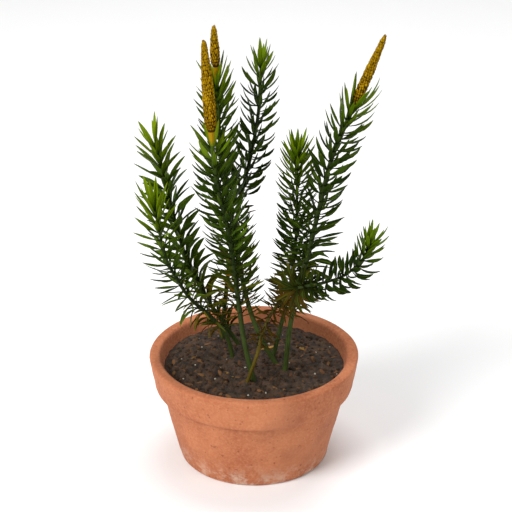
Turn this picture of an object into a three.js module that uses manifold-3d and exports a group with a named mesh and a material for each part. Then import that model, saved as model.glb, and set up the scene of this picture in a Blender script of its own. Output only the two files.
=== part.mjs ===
// A potted stiff clubmoss: eight leafy shoots, three of them with a golden cone, in a low clay pot.
// Millimetres, +Z up, front towards -Y. The origin is the centre of the pot's underside.

import * as THREE from "three";
import { mergeVertices } from "three/addons/utils/BufferGeometryUtils.js";
import Module from "manifold-3d";

// Pot
const POT_HEIGHT = 40;
const POT_RIM_RADIUS = 38;
const POT_BASE_RADIUS = 27;
const POT_WALL = 4;
const POT_FLOOR = 5;
const COLLAR_HEIGHT = 12;
const COLLAR_STEP = 2.2;
const POT_WAIST_STEP = 2;
const POT_EDGE = 0.8;
const DRAIN_RADIUS = 3;
const DRAIN_FROM_CENTRE = 13;
const DRAIN_COUNT = 3;
const DRAIN_SIDES = 12;
const ROUND_SEGMENTS = 36;

// Soil
const SOIL_EDGE_LEVEL = 35;
const SOIL_MOUND = 1.6;
const SOIL_LUMP = 0.35;
const SOIL_LUMP_WAVES = [[0.62, 0.21], [-0.33, 0.55], [0.9, 0.9]];
const HOLE_RINGS = [9, 17];
const SOIL_RINGS = [0.84, 0.6, 0.36, 0.13];

// What neighbouring pieces keep between them, and how near two corners are one
const GAP = 0.3;
const MERGE_DISTANCE = 1e-4;

// Leaves: lances with a flat upper side and a keel underneath, each grown from one face of its stem
const LEAF_WIDTH = 1.5;
const LEAF_THICKNESS = 0.7;
const LEAF_BELLY = 0.42;
const LEAF_BASE = 0.85;
const LEAF_ROUND_RADIUS = 0.75;
const LEAF_TIP_RADIUS = 0.5;
const LENGTH_VARIES = 0.08;
const SPREAD_VARIES = 0.1;
const TURN_VARIES = 3;

// Stems: as many sides as a whorl has leaves, each whorl turned by half a leaf from the one below
const STEM_SIDES = 5;
const STEM_STEP = 9;
const WHORL_PITCH = 2.65;
const TUFT_PITCH = 1.95;
const BROWN_PITCH = 3.4;
const ROSETTE_PITCH = 1.6;
const BROWN_LEAF_SHARE = 0.6;
const TUFT_LENGTH = 16;
const ROSETTE_LENGTH = 6;
const LOW_LEAVES_FROM = 0.45;
const END_MARGIN = 0.5;
const LEAF_FLOOR = 39;
const RANDOM_SEED = 11;

// Cones
const CONE_SIDES = 12;
const CONE_ROW = 1.35;
const CONE_RELIEF = 0.13;
const CONE_FOOT_SHARE = 0.86;
const CONE_FOOT_END = 0.12;
const CONE_HEAD_SHARE = 0.42;
const CONE_HEAD_START = 0.55;
const CONE_LAST_ROW = 0.975;
const STALK_SIDES = 8;

const CLAY = { color: "#a9603d", roughness: 0.9, metalness: 0 };
const EARTH = { color: "#3a2a1c", roughness: 1, metalness: 0 };
const GREEN = { color: "#3d5a1e", roughness: 0.6, metalness: 0 };
const BROWN = { color: "#5f4a1c", roughness: 0.8, metalness: 0 };
const YELLOW = { color: "#8e790d", roughness: 0.7, metalness: 0 };
const OCHRE = { color: "#96700a", roughness: 0.8, metalness: 0 };

// Each route runs from the buried end of a stem to its tip. "bare" is the length without leaves from
// there, "spread" is the angle in degrees between a leaf and the stem at the tip, in the middle and at
// the lowest leaves, and "curl" is how much more upright a leaf's tip is than its root.
const SHOOTS = [
  {
    name: "front", stemRadius: 0.9, tipRadius: 0.75, bare: 35,
    leafLength: 10.5, spread: [24, 50, 62], curl: 16,
    route: [[2.5, -15.5, 27], [0, -15, 36], [-3.5, -14, 52], [-6, -13, 72], [-8.5, -12, 91],
      [-12, -11, 108], [-13.5, -10, 118], [-14, -10, 125]],
    cone: { tip: [-16.5, -8, 160.5], radius: 2.2, stalkLength: 3.9, stalkRadii: [0.75, 1.05] },
  },
  {
    name: "rear", stemRadius: 0.9, tipRadius: 0.7, bare: 35,
    leafLength: 10, spread: [20, 46, 62], curl: 16,
    route: [[12, -4, 27], [8.5, -3, 35.5], [3, -2, 45.5], [-1, 0, 55.5], [-4, 1, 67.5], [-7, 3, 85],
      [-10, 4.5, 103.5], [-11.5, 5, 122], [-12, 5, 141.5]],
    cone: { tip: [-13.5, 5, 161.5], radius: 1.65, stalkLength: 2.8, stalkRadii: [0.7, 0.95] },
  },
  {
    name: "back", stemRadius: 0.85, tipRadius: 0.4, bare: 15,
    leafLength: 9.5, spread: [18, 50, 74], curl: 30,
    route: [[-12, 17, 27], [-12, 17, 34.5], [-10.5, 17, 54], [-8, 17, 74.5], [-4.5, 16.5, 94.5],
      [-1, 15.5, 111], [1.5, 14.5, 126.5], [2.5, 14, 145]],
  },
  {
    name: "left", stemRadius: 0.85, tipRadius: 0.4, bare: 18,
    leafLength: 10, spread: [18, 50, 74], curl: 22,
    route: [[-1, 12.5, 27], [-4.5, 12, 34.5], [-10, 10.5, 44.5], [-16.5, 9, 56], [-21.5, 7, 68],
      [-25.5, 6, 79], [-28, 5, 90.5], [-30.5, 4, 102.5], [-34, 3, 120]],
  },
  {
    name: "left_low", stemRadius: 0.85, tipRadius: 0.4, bare: 23,
    leafLength: 9.5, spread: [18, 56, 96], curl: -10,
    route: [[-7, 2, 27], [-7.5, 1, 35], [-10, -1, 47.5], [-16, -3, 56.5], [-22.5, -5, 64],
      [-27.5, -7, 73.5], [-31, -8.5, 83], [-34, -9, 100]],
  },
  {
    name: "right", stemRadius: 0.9, tipRadius: 0.7, bare: 32,
    leafLength: 10.5, spread: [20, 50, 84], curl: 24,
    route: [[10, -8.5, 27], [11, -8, 36], [12.5, -7, 51.5], [15, -6, 67], [18.5, -5, 79],
      [21, -3.5, 90.5], [23.5, -2.5, 102], [26, -1.5, 113.5], [29.5, -0.5, 123.5], [34, 0, 134.5]],
    cone: { tip: [44, 2, 159], radius: 1.75, stalkLength: 1.8, stalkRadii: [0.7, 0.95] },
  },
  {
    name: "right_short", stemRadius: 0.85, tipRadius: 0.4, bare: 28,
    leafLength: 8.5, spread: [16, 46, 76], curl: 20,
    route: [[4.5, 1, 27], [6.5, 2, 35], [9, 3, 46], [12, 4, 59.5], [14, 4, 73], [15, 4, 87],
      [15, 4, 101], [15, 4, 115]],
  },
  {
    name: "creeping", stemRadius: 0.65, tipRadius: 0.4, bare: 27,
    leafLength: 8.5, spread: [18, 58, 88], curl: 18,
    route: [[-4.5, -15, 27], [-2.5, -17, 36.5], [1, -19.5, 49], [3.5, -20.5, 60], [7.5, -20.5, 68.5],
      [12.5, -25, 75.5], [14, -31, 80.5], [16.5, -35, 84], [20.5, -36.5, 86], [29.5, -35, 88.5],
      [36, -33, 93.5], [38.5, -32, 98.5]],
    brownTo: 67,
  },
];

// How a leaf that would meet its neighbour's is turned, spread and shortened until it is clear
const DODGES = [
  [0, 1, 1], [12, 1, 1], [-12, 1, 1], [0, 0.75, 1], [24, 1, 0.95], [-24, 1, 0.95], [0, 1.25, 1],
  [14, 0.7, 0.9], [-14, 0.7, 0.9], [14, 1.3, 0.85], [-14, 1.3, 0.85], [0, 0.55, 0.85],
  [40, 0.9, 0.8], [-40, 0.9, 0.8], [0, 1.5, 0.75], [0, 0.4, 0.7],
];

// A leaf's corners are its four on the stem, lower left, lower right, upper right and upper left, then
// the left and right edges and the keel at its belly, and last its tip
const LEAF_FACES = [[0, 1, 6], [1, 2, 5], [1, 5, 6], [2, 3, 4], [2, 4, 5], [3, 0, 6], [3, 6, 4],
  [6, 5, 7], [5, 4, 7], [4, 6, 7]];
const LEAF_EDGES = [[6, 0], [6, 1], [5, 2], [4, 3], [4, 5], [5, 6], [6, 4], [4, 7], [5, 7], [6, 7]];
const ROOT_CORNERS = 4;
const EDGE_SHARE_TESTED = 0.9;

const { Manifold, Mesh } = await load();

async function load() {
  const wasm = await Module();
  wasm.setup();
  return wasm;
}

function vector([x, y, z]) {
  return new THREE.Vector3(x, y, z);
}

function degrees(angle) {
  return THREE.MathUtils.degToRad(angle);
}

function randomFrom(seed) {
  let state = seed;
  return () => {
    state = (state * 1664525 + 1013904223) % 4294967296;
    return state / 4294967296;
  };
}

// A closed skin over rings of points that run counterclockwise about the way they follow each other.
// A ring of one point is a tip; any other first or last ring is capped flat. A cell is split from its
// lower left to its upper right corner, or the other way where isFlipped says so.
function loft(rings, isFlipped = () => false) {
  const starts = rings.map((_, k) => rings.slice(0, k).flat().length);
  const corner = (k, i) => starts[k] + (rings[k].length === 1 ? 0 : i % rings[k].length);
  const faces = [];
  for (let k = 0; k + 1 < rings.length; k += 1) {
    const sides = Math.max(rings[k].length, rings[k + 1].length);
    for (let i = 0; i < sides; i += 1) {
      const cell = [corner(k, i), corner(k, i + 1), corner(k + 1, i + 1), corner(k + 1, i)];
      if (rings[k].length === 1) faces.push(cell[0], cell[2], cell[3]);
      else if (rings[k + 1].length === 1) faces.push(cell[0], cell[1], cell[2]);
      else if (isFlipped(k, i)) faces.push(cell[0], cell[1], cell[3], cell[1], cell[2], cell[3]);
      else faces.push(cell[0], cell[1], cell[2], cell[0], cell[2], cell[3]);
    }
  }
  const last = rings.length - 1;
  for (let i = 1; i + 1 < rings[0].length; i += 1) {
    faces.push(corner(0, 0), corner(0, i + 1), corner(0, i));
  }
  for (let i = 1; i + 1 < rings[last].length; i += 1) {
    faces.push(corner(last, 0), corner(last, i), corner(last, i + 1));
  }
  const geometry = new THREE.BufferGeometry().setFromPoints(rings.flat());
  geometry.setIndex(faces);
  return geometry;
}

// A profile of [radius, height] pairs turned about +Z
function turned(profile) {
  const outline = profile.map(([radius, height]) => new THREE.Vector2(radius, height));
  return new THREE.LatheGeometry(outline, ROUND_SEGMENTS).rotateX(Math.PI / 2);
}

function solidOf(geometry) {
  geometry.deleteAttribute("normal");
  geometry.deleteAttribute("uv");
  const merged = mergeVertices(geometry, MERGE_DISTANCE);
  const mesh = new Mesh({
    numProp: 3,
    vertProperties: new Float32Array(merged.attributes.position.array),
    triVerts: new Uint32Array(merged.index.array),
  });
  return new Manifold(mesh);
}

function geometryOf(solid) {
  const mesh = solid.getMesh();
  const geometry = new THREE.BufferGeometry();
  geometry.setAttribute("position", new THREE.BufferAttribute(mesh.vertProperties, 3));
  geometry.setIndex(new THREE.BufferAttribute(mesh.triVerts, 1));
  return geometry;
}

// Place, heading and two directions across a curve, at a length along it
function frameAt(curve, along) {
  const share = THREE.MathUtils.clamp(along / curve.getLength(), 0, 1);
  const heading = curve.getTangentAt(share);
  const across = new THREE.Vector3(0, 1, 0).cross(heading).normalize();
  return { place: curve.getPointAt(share), heading, across, over: heading.clone().cross(across) };
}

function outwards({ across, over }, turn) {
  return across.clone().multiplyScalar(Math.cos(turn)).addScaledVector(over, Math.sin(turn));
}

function ringAt(frame, radiusOf, sides) {
  return Array.from({ length: sides }, (_, i) =>
    frame.place.clone().addScaledVector(outwards(frame, (2 * Math.PI * i) / sides), radiusOf(i)));
}

// A leaf grown from four corners on a stem
function leafFrom(roots, frame, turn, { spread, curl, length }) {
  const out = outwards(frame, turn);
  const side = frame.heading.clone().cross(out);
  const lean = (angle) =>
    frame.heading.clone().multiplyScalar(Math.cos(angle)).addScaledVector(out, Math.sin(angle));
  const root = roots.reduce((sum, each) => sum.add(each), new THREE.Vector3()).divideScalar(roots.length);
  const belly = root.clone().addScaledVector(lean(spread + curl / 2), length * LEAF_BELLY);
  const tip = belly.clone().addScaledVector(lean(spread - curl / 2), length * (1 - LEAF_BELLY));
  const below = lean(spread + Math.PI / 2);
  const edge = (share) => belly.clone().addScaledVector(side, share * LEAF_WIDTH)
    .addScaledVector(below, -LEAF_THICKNESS / 3);
  const keel = belly.clone().addScaledVector(below, (2 * LEAF_THICKNESS) / 3);
  return { root, belly, tip, corners: [...roots, edge(-0.5), edge(0.5), keel, tip] };
}

// True where an edge of one leaf passes through a face of the other
function pierces(leaf, other) {
  const hit = new THREE.Vector3();
  return LEAF_EDGES.some(([from, to], i) => {
    const start = leaf.corners[from];
    const way = leaf.corners[to].clone().sub(start);
    const reach = way.length() * (i < ROOT_CORNERS ? EDGE_SHARE_TESTED : 1);
    const ray = new THREE.Ray(start, way.normalize());
    return LEAF_FACES.some((face) => {
      const [a, b, c] = face.map((corner) => other.corners[corner]);
      return ray.intersectTriangle(a, b, c, false, hit) !== null && hit.distanceTo(start) < reach;
    });
  });
}

// Shortest distance between two straight stretches
function distance(first, second) {
  const along = first.to.clone().sub(first.from);
  const other = second.to.clone().sub(second.from);
  const apart = first.from.clone().sub(second.from);
  const [a, b, e] = [along.lengthSq(), along.dot(other), other.lengthSq()];
  const [c, f] = [along.dot(apart), other.dot(apart)];
  const clamp = (value) => THREE.MathUtils.clamp(value, 0, 1);
  const crossing = a * e - b * b;
  let s = crossing > Number.EPSILON ? clamp((b * f - c * e) / crossing) : 0;
  const t = clamp((b * s + f) / e);
  s = clamp((b * t - c) / a);
  const onFirst = first.from.clone().addScaledVector(along, s);
  return onFirst.distanceTo(second.from.clone().addScaledVector(other, t));
}

function stretches(owner, { root, belly, tip }) {
  return [
    { owner, from: root, to: belly, radius: LEAF_ROUND_RADIUS },
    { owner, from: belly, to: tip, radius: LEAF_TIP_RADIUS },
  ];
}

// A leaf is clear if it stays above the soil, off every other piece and out of its own stem's leaves
function isClear(owner, leaf, own, taken) {
  if (leaf.tip.z < LEAF_FLOOR) return false;
  const offOthers = stretches(owner, leaf).every((part) =>
    taken.every((other) => other.owner === owner
      || distance(part, other) > part.radius + other.radius + GAP));
  return offOthers && !own.some((each) => pierces(leaf, each) || pierces(each, leaf));
}

// Spread of the leaves at a length along a stem, opening out from its tip to its lowest leaves
function spreadAt(shoot, along, from, tip) {
  const tuft = THREE.MathUtils.smoothstep(tip - along, 0, TUFT_LENGTH);
  const low = THREE.MathUtils.smoothstep((tip - along) / (tip - from), LOW_LEAVES_FROM, 1);
  const open = THREE.MathUtils.lerp(shoot.spread[0], shoot.spread[1], tuft);
  return degrees(THREE.MathUtils.lerp(open, shoot.spread[2], low));
}

// The lengths along a stem at which its rings lie. A whorl's leaves grow between its ring and the next.
function levelsOf({ from, first, to, dense, pitches }) {
  const steps = Math.ceil((first - from) / STEM_STEP);
  const levels = Array.from({ length: steps }, (_, k) => ({ along: from + ((first - from) * k) / steps }));
  for (let along = first; along + LEAF_BASE < to; along += along > dense ? pitches[1] : pitches[0]) {
    levels.push({ along, whorl: true }, { along: along + LEAF_BASE });
  }
  return [...levels, { along: to }];
}

// A stem with its leaves as one closed skin
function shootGeometry(owner, shoot, curve, rule, random, taken) {
  const levels = levelsOf(rule);
  const cell = (2 * Math.PI) / STEM_SIDES;
  const lastRadius = rule.tip === rule.to ? shoot.tipRadius : shoot.stemRadius;
  let turn = 0;
  const points = levels.flatMap((level, k) => {
    turn += level.whorl ? cell / 2 : 0;
    level.turn = turn;
    level.frame = frameAt(curve, level.along);
    const radius = k === levels.length - 1 ? lastRadius : shoot.stemRadius;
    return Array.from({ length: STEM_SIDES }, (_, i) =>
      level.frame.place.clone().addScaledVector(outwards(level.frame, turn + i * cell), radius));
  });
  const corner = (k, i) => k * STEM_SIDES + (i % STEM_SIDES);
  const faces = [];
  const own = [];
  for (let k = 0; k + 1 < levels.length; k += 1) {
    for (let i = 0; i < STEM_SIDES; i += 1) {
      const roots = [corner(k, i), corner(k, i + 1), corner(k + 1, i + 1), corner(k + 1, i)];
      const grows = levels[k].whorl && random() < (levels[k].along > rule.dense ? 1 : rule.leafShare);
      const leaf = grows && leafAt(owner, shoot, rule, levels[k], i, roots.map((each) => points[each]),
        random, own, taken);
      if (leaf) {
        const numbers = [...roots, ...leaf.corners.slice(roots.length).map((_, n) => points.length + n)];
        points.push(...leaf.corners.slice(roots.length));
        faces.push(...LEAF_FACES.flatMap((face) => face.map((each) => numbers[each])));
        own.push(leaf);
        taken.push(...stretches(owner, leaf));
      } else {
        faces.push(roots[0], roots[1], roots[2], roots[0], roots[2], roots[3]);
      }
    }
  }
  const last = levels.length - 1;
  for (let i = 1; i + 1 < STEM_SIDES; i += 1) {
    faces.push(corner(0, 0), corner(0, i + 1), corner(0, i));
    faces.push(corner(last, 0), corner(last, i), corner(last, i + 1));
  }
  const geometry = new THREE.BufferGeometry().setFromPoints(points);
  geometry.setIndex(faces);
  return geometry;
}

// The leaf of one face of a whorl, bent clear of what is near it, or nothing where there is no room
function leafAt(owner, shoot, rule, level, i, roots, random, own, taken) {
  const varied = (value, share) => value * (1 + share * (2 * random() - 1));
  const length = varied(shoot.leafLength, LENGTH_VARIES);
  const spread = varied(spreadAt(shoot, level.along, rule.first, rule.tip), SPREAD_VARIES);
  const middle = level.turn + ((i + 0.5) * 2 * Math.PI) / STEM_SIDES;
  const turn = middle + degrees(TURN_VARIES) * (2 * random() - 1);
  const tries = DODGES.map(([turned, spreadShare, lengthShare]) =>
    leafFrom(roots, level.frame, turn + degrees(turned), {
      spread: spread * spreadShare, curl: degrees(shoot.curl), length: length * lengthShare,
    }));
  return tries.find((leaf) => isClear(owner, leaf, own, taken));
}

function potGeometry() {
  const collarFoot = POT_HEIGHT - COLLAR_HEIGHT;
  const rimInside = POT_RIM_RADIUS - POT_WALL;
  const waist = POT_RIM_RADIUS - COLLAR_STEP - POT_WAIST_STEP;
  const profile = [
    [0, 0],
    [POT_BASE_RADIUS - POT_EDGE, 0],
    [POT_BASE_RADIUS, POT_EDGE],
    [waist, collarFoot],
    [waist + COLLAR_STEP - POT_EDGE, collarFoot],
    [waist + COLLAR_STEP, collarFoot + POT_EDGE],
    [POT_RIM_RADIUS, POT_HEIGHT - POT_EDGE],
    [POT_RIM_RADIUS - POT_EDGE, POT_HEIGHT],
    [rimInside + POT_EDGE, POT_HEIGHT],
    [rimInside, POT_HEIGHT - POT_EDGE],
    [POT_BASE_RADIUS - POT_WALL + POT_EDGE, POT_FLOOR],
    [0, POT_FLOOR],
  ];
  let pot = solidOf(turned(profile));
  for (let i = 0; i < DRAIN_COUNT; i += 1) {
    const drain = new THREE.CylinderGeometry(DRAIN_RADIUS, DRAIN_RADIUS, POT_FLOOR * 3, DRAIN_SIDES);
    drain.rotateX(Math.PI / 2).translate(DRAIN_FROM_CENTRE, 0, POT_FLOOR / 2);
    drain.rotateZ((2 * Math.PI * i) / DRAIN_COUNT);
    pot = pot.subtract(solidOf(drain));
  }
  return geometryOf(pot);
}

// The inside of the pot at a height, less the gap that the soil keeps
function soilRadius(height) {
  const low = POT_BASE_RADIUS - POT_WALL + POT_EDGE;
  const high = POT_RIM_RADIUS - POT_WALL;
  const share = (height - POT_FLOOR) / (POT_HEIGHT - POT_EDGE - POT_FLOOR);
  return THREE.MathUtils.lerp(low, high, share) - GAP;
}

function soilLevel(x, y) {
  const share = Math.hypot(x, y) / soilRadius(SOIL_EDGE_LEVEL);
  const lumps = SOIL_LUMP_WAVES.reduce((sum, [a, b]) => sum + Math.sin(a * x + b * y), 0);
  return SOIL_EDGE_LEVEL + SOIL_MOUND * (1 - share * share) + SOIL_LUMP * lumps * (1 - share ** 6);
}

function soilGeometry(stems) {
  const circle = (radius, levelOf) => Array.from({ length: ROUND_SEGMENTS }, (_, i) => {
    const turn = (2 * Math.PI * i) / ROUND_SEGMENTS;
    const [x, y] = [radius * Math.cos(turn), radius * Math.sin(turn)];
    return new THREE.Vector3(x, y, levelOf(x, y));
  });
  const floor = POT_FLOOR + GAP;
  const edge = soilRadius(SOIL_EDGE_LEVEL);
  const rings = [
    circle(soilRadius(floor), () => floor),
    circle(edge, () => SOIL_EDGE_LEVEL),
    ...SOIL_RINGS.map((share) => circle(edge * share, soilLevel)),
    [new THREE.Vector3(0, 0, soilLevel(0, 0))],
  ];
  return geometryOf(stems.reduce((soil, hole) => soil.subtract(hole), solidOf(loft(rings))));
}

// The widening of a stem that its hole in the soil follows
function holeSolid(curve, radius) {
  const deep = frameAt(curve, 0);
  const start = { ...deep, place: deep.place.clone().addScaledVector(deep.heading, -GAP) };
  const reach = [start, ...HOLE_RINGS.map((along) => frameAt(curve, along))];
  const wide = (radius + GAP) / Math.cos(Math.PI / STEM_SIDES);
  return solidOf(loft(reach.map((frame) => ringAt(frame, () => wide, STEM_SIDES))));
}

// A spike of scales: every other point of a ring stands proud, and they change places from ring to ring
function coneSkin(base, tip, radius) {
  const axis = new THREE.LineCurve3(base, tip);
  const length = axis.getLength();
  const rows = Math.round(length / CONE_ROW);
  const { lerp, smoothstep } = THREE.MathUtils;
  const isProud = (k, i) => (i + k) % 2 === 0;
  const profile = (share) => radius * lerp(CONE_FOOT_SHARE, 1, smoothstep(share, 0, CONE_FOOT_END))
    * lerp(1, CONE_HEAD_SHARE, smoothstep(share, CONE_HEAD_START, 1));
  const rings = Array.from({ length: rows + 1 }, (_, k) => {
    const share = (k / rows) * CONE_LAST_ROW;
    const relief = k === 0 || k === rows ? 0 : CONE_RELIEF;
    const radiusOf = (i) => profile(share) * (1 + (isProud(k, i) ? relief : -relief));
    return ringAt(frameAt(axis, length * share), radiusOf, CONE_SIDES);
  });
  return loft([...rings, [tip]], isProud);
}

function part(name, geometry, look) {
  const mesh = new THREE.Mesh(geometry, new THREE.MeshStandardMaterial({ ...look, flatShading: true }));
  mesh.name = name;
  return mesh;
}

function straight(owner, from, to, radius) {
  return { owner, from, to, radius };
}

// Lengths along a stem that each of its nodes covers
function sectionsOf(shoot, length) {
  if (!shoot.brownTo) return [{ node: `shoot_${shoot.name}`, from: 0, to: length, look: GREEN }];
  return [
    { node: `shoot_${shoot.name}_base`, from: 0, to: shoot.brownTo - GAP / 2, look: BROWN },
    { node: `shoot_${shoot.name}`, from: shoot.brownTo + GAP / 2, to: length, look: GREEN },
  ];
}

function buildPlant() {
  const plant = new THREE.Group();
  const taken = [];
  const shoots = SHOOTS.map((shoot) => {
    const curve = new THREE.CatmullRomCurve3(shoot.route.map(vector), false, "catmullrom", 0.5);
    curve.arcLengthDivisions = 400;
    const length = curve.getLength();
    return { shoot, curve, length, sections: sectionsOf(shoot, length) };
  });

  for (const { shoot, curve, sections } of shoots) {
    for (const { node, from, to } of sections) {
      const steps = Math.ceil((to - from) / STEM_STEP);
      for (let k = 0; k < steps; k += 1) {
        const [low, high] = [k, k + 1].map((step) => frameAt(curve, from + ((to - from) * step) / steps));
        taken.push(straight(node, low.place, high.place, shoot.stemRadius));
      }
    }
  }

  for (const { shoot, curve, length } of shoots.filter((each) => each.shoot.cone)) {
    const { tip: tipPoint, radius, stalkLength, stalkRadii } = shoot.cone;
    const stemTip = frameAt(curve, length).place;
    const tip = vector(tipPoint);
    const heading = tip.clone().sub(stemTip).normalize();
    const at = (reach) => stemTip.clone().addScaledVector(heading, reach);
    const stalkAxis = new THREE.LineCurve3(at(GAP), at(stalkLength - GAP));
    const stalkFrames = [0, stalkAxis.getLength()].map((along) => frameAt(stalkAxis, along));
    const stalk = loft(stalkFrames.map((frame, k) => ringAt(frame, () => stalkRadii[k], STALK_SIDES)));
    plant.add(part(`stalk_${shoot.name}`, stalk, YELLOW));
    plant.add(part(`cone_${shoot.name}`, coneSkin(at(stalkLength), tip, radius), OCHRE));
    taken.push(straight(`stalk_${shoot.name}`, at(0), at(stalkLength), stalkRadii[1]));
    taken.push(straight(`cone_${shoot.name}`, at(stalkLength), tip, radius * (1 + CONE_RELIEF)));
  }

  shoots.forEach(({ shoot, curve, length, sections }, index) => {
    const random = randomFrom(RANDOM_SEED + index);
    for (const { node, from, to, look } of sections) {
      const isBase = look === BROWN;
      const rule = {
        from,
        to,
        tip: length,
        first: Math.max(shoot.bare, from + END_MARGIN),
        dense: to - (isBase ? ROSETTE_LENGTH : TUFT_LENGTH),
        pitches: isBase ? [BROWN_PITCH, ROSETTE_PITCH] : [WHORL_PITCH, TUFT_PITCH],
        leafShare: isBase ? BROWN_LEAF_SHARE : 1,
      };
      plant.add(part(node, shootGeometry(node, shoot, curve, rule, random, taken), look));
    }
  });

  const holes = shoots.map(({ shoot, curve }) => holeSolid(curve, shoot.stemRadius));
  plant.add(part("pot", potGeometry(), CLAY));
  plant.add(part("soil", soilGeometry(holes), EARTH));
  return plant;
}

export default buildPlant();
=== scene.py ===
"""A stiff clubmoss in a clay pot: leafy shoots and golden cones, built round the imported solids."""

import math

import bmesh
import bpy
import numpy as np
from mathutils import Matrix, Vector, noise


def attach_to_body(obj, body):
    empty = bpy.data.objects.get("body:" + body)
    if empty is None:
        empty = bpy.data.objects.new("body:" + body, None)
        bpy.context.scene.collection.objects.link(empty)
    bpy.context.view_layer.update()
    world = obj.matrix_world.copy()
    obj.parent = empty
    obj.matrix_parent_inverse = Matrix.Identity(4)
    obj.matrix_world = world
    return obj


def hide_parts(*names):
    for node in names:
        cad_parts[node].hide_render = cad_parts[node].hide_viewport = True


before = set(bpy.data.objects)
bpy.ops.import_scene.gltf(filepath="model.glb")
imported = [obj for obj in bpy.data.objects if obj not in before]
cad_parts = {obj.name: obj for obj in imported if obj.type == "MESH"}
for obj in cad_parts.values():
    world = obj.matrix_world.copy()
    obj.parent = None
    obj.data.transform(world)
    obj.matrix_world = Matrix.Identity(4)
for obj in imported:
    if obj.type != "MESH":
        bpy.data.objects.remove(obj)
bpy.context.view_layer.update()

# Lengths are in millimetres and angles in degrees, unless a comment says otherwise
MM = 0.001

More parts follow.
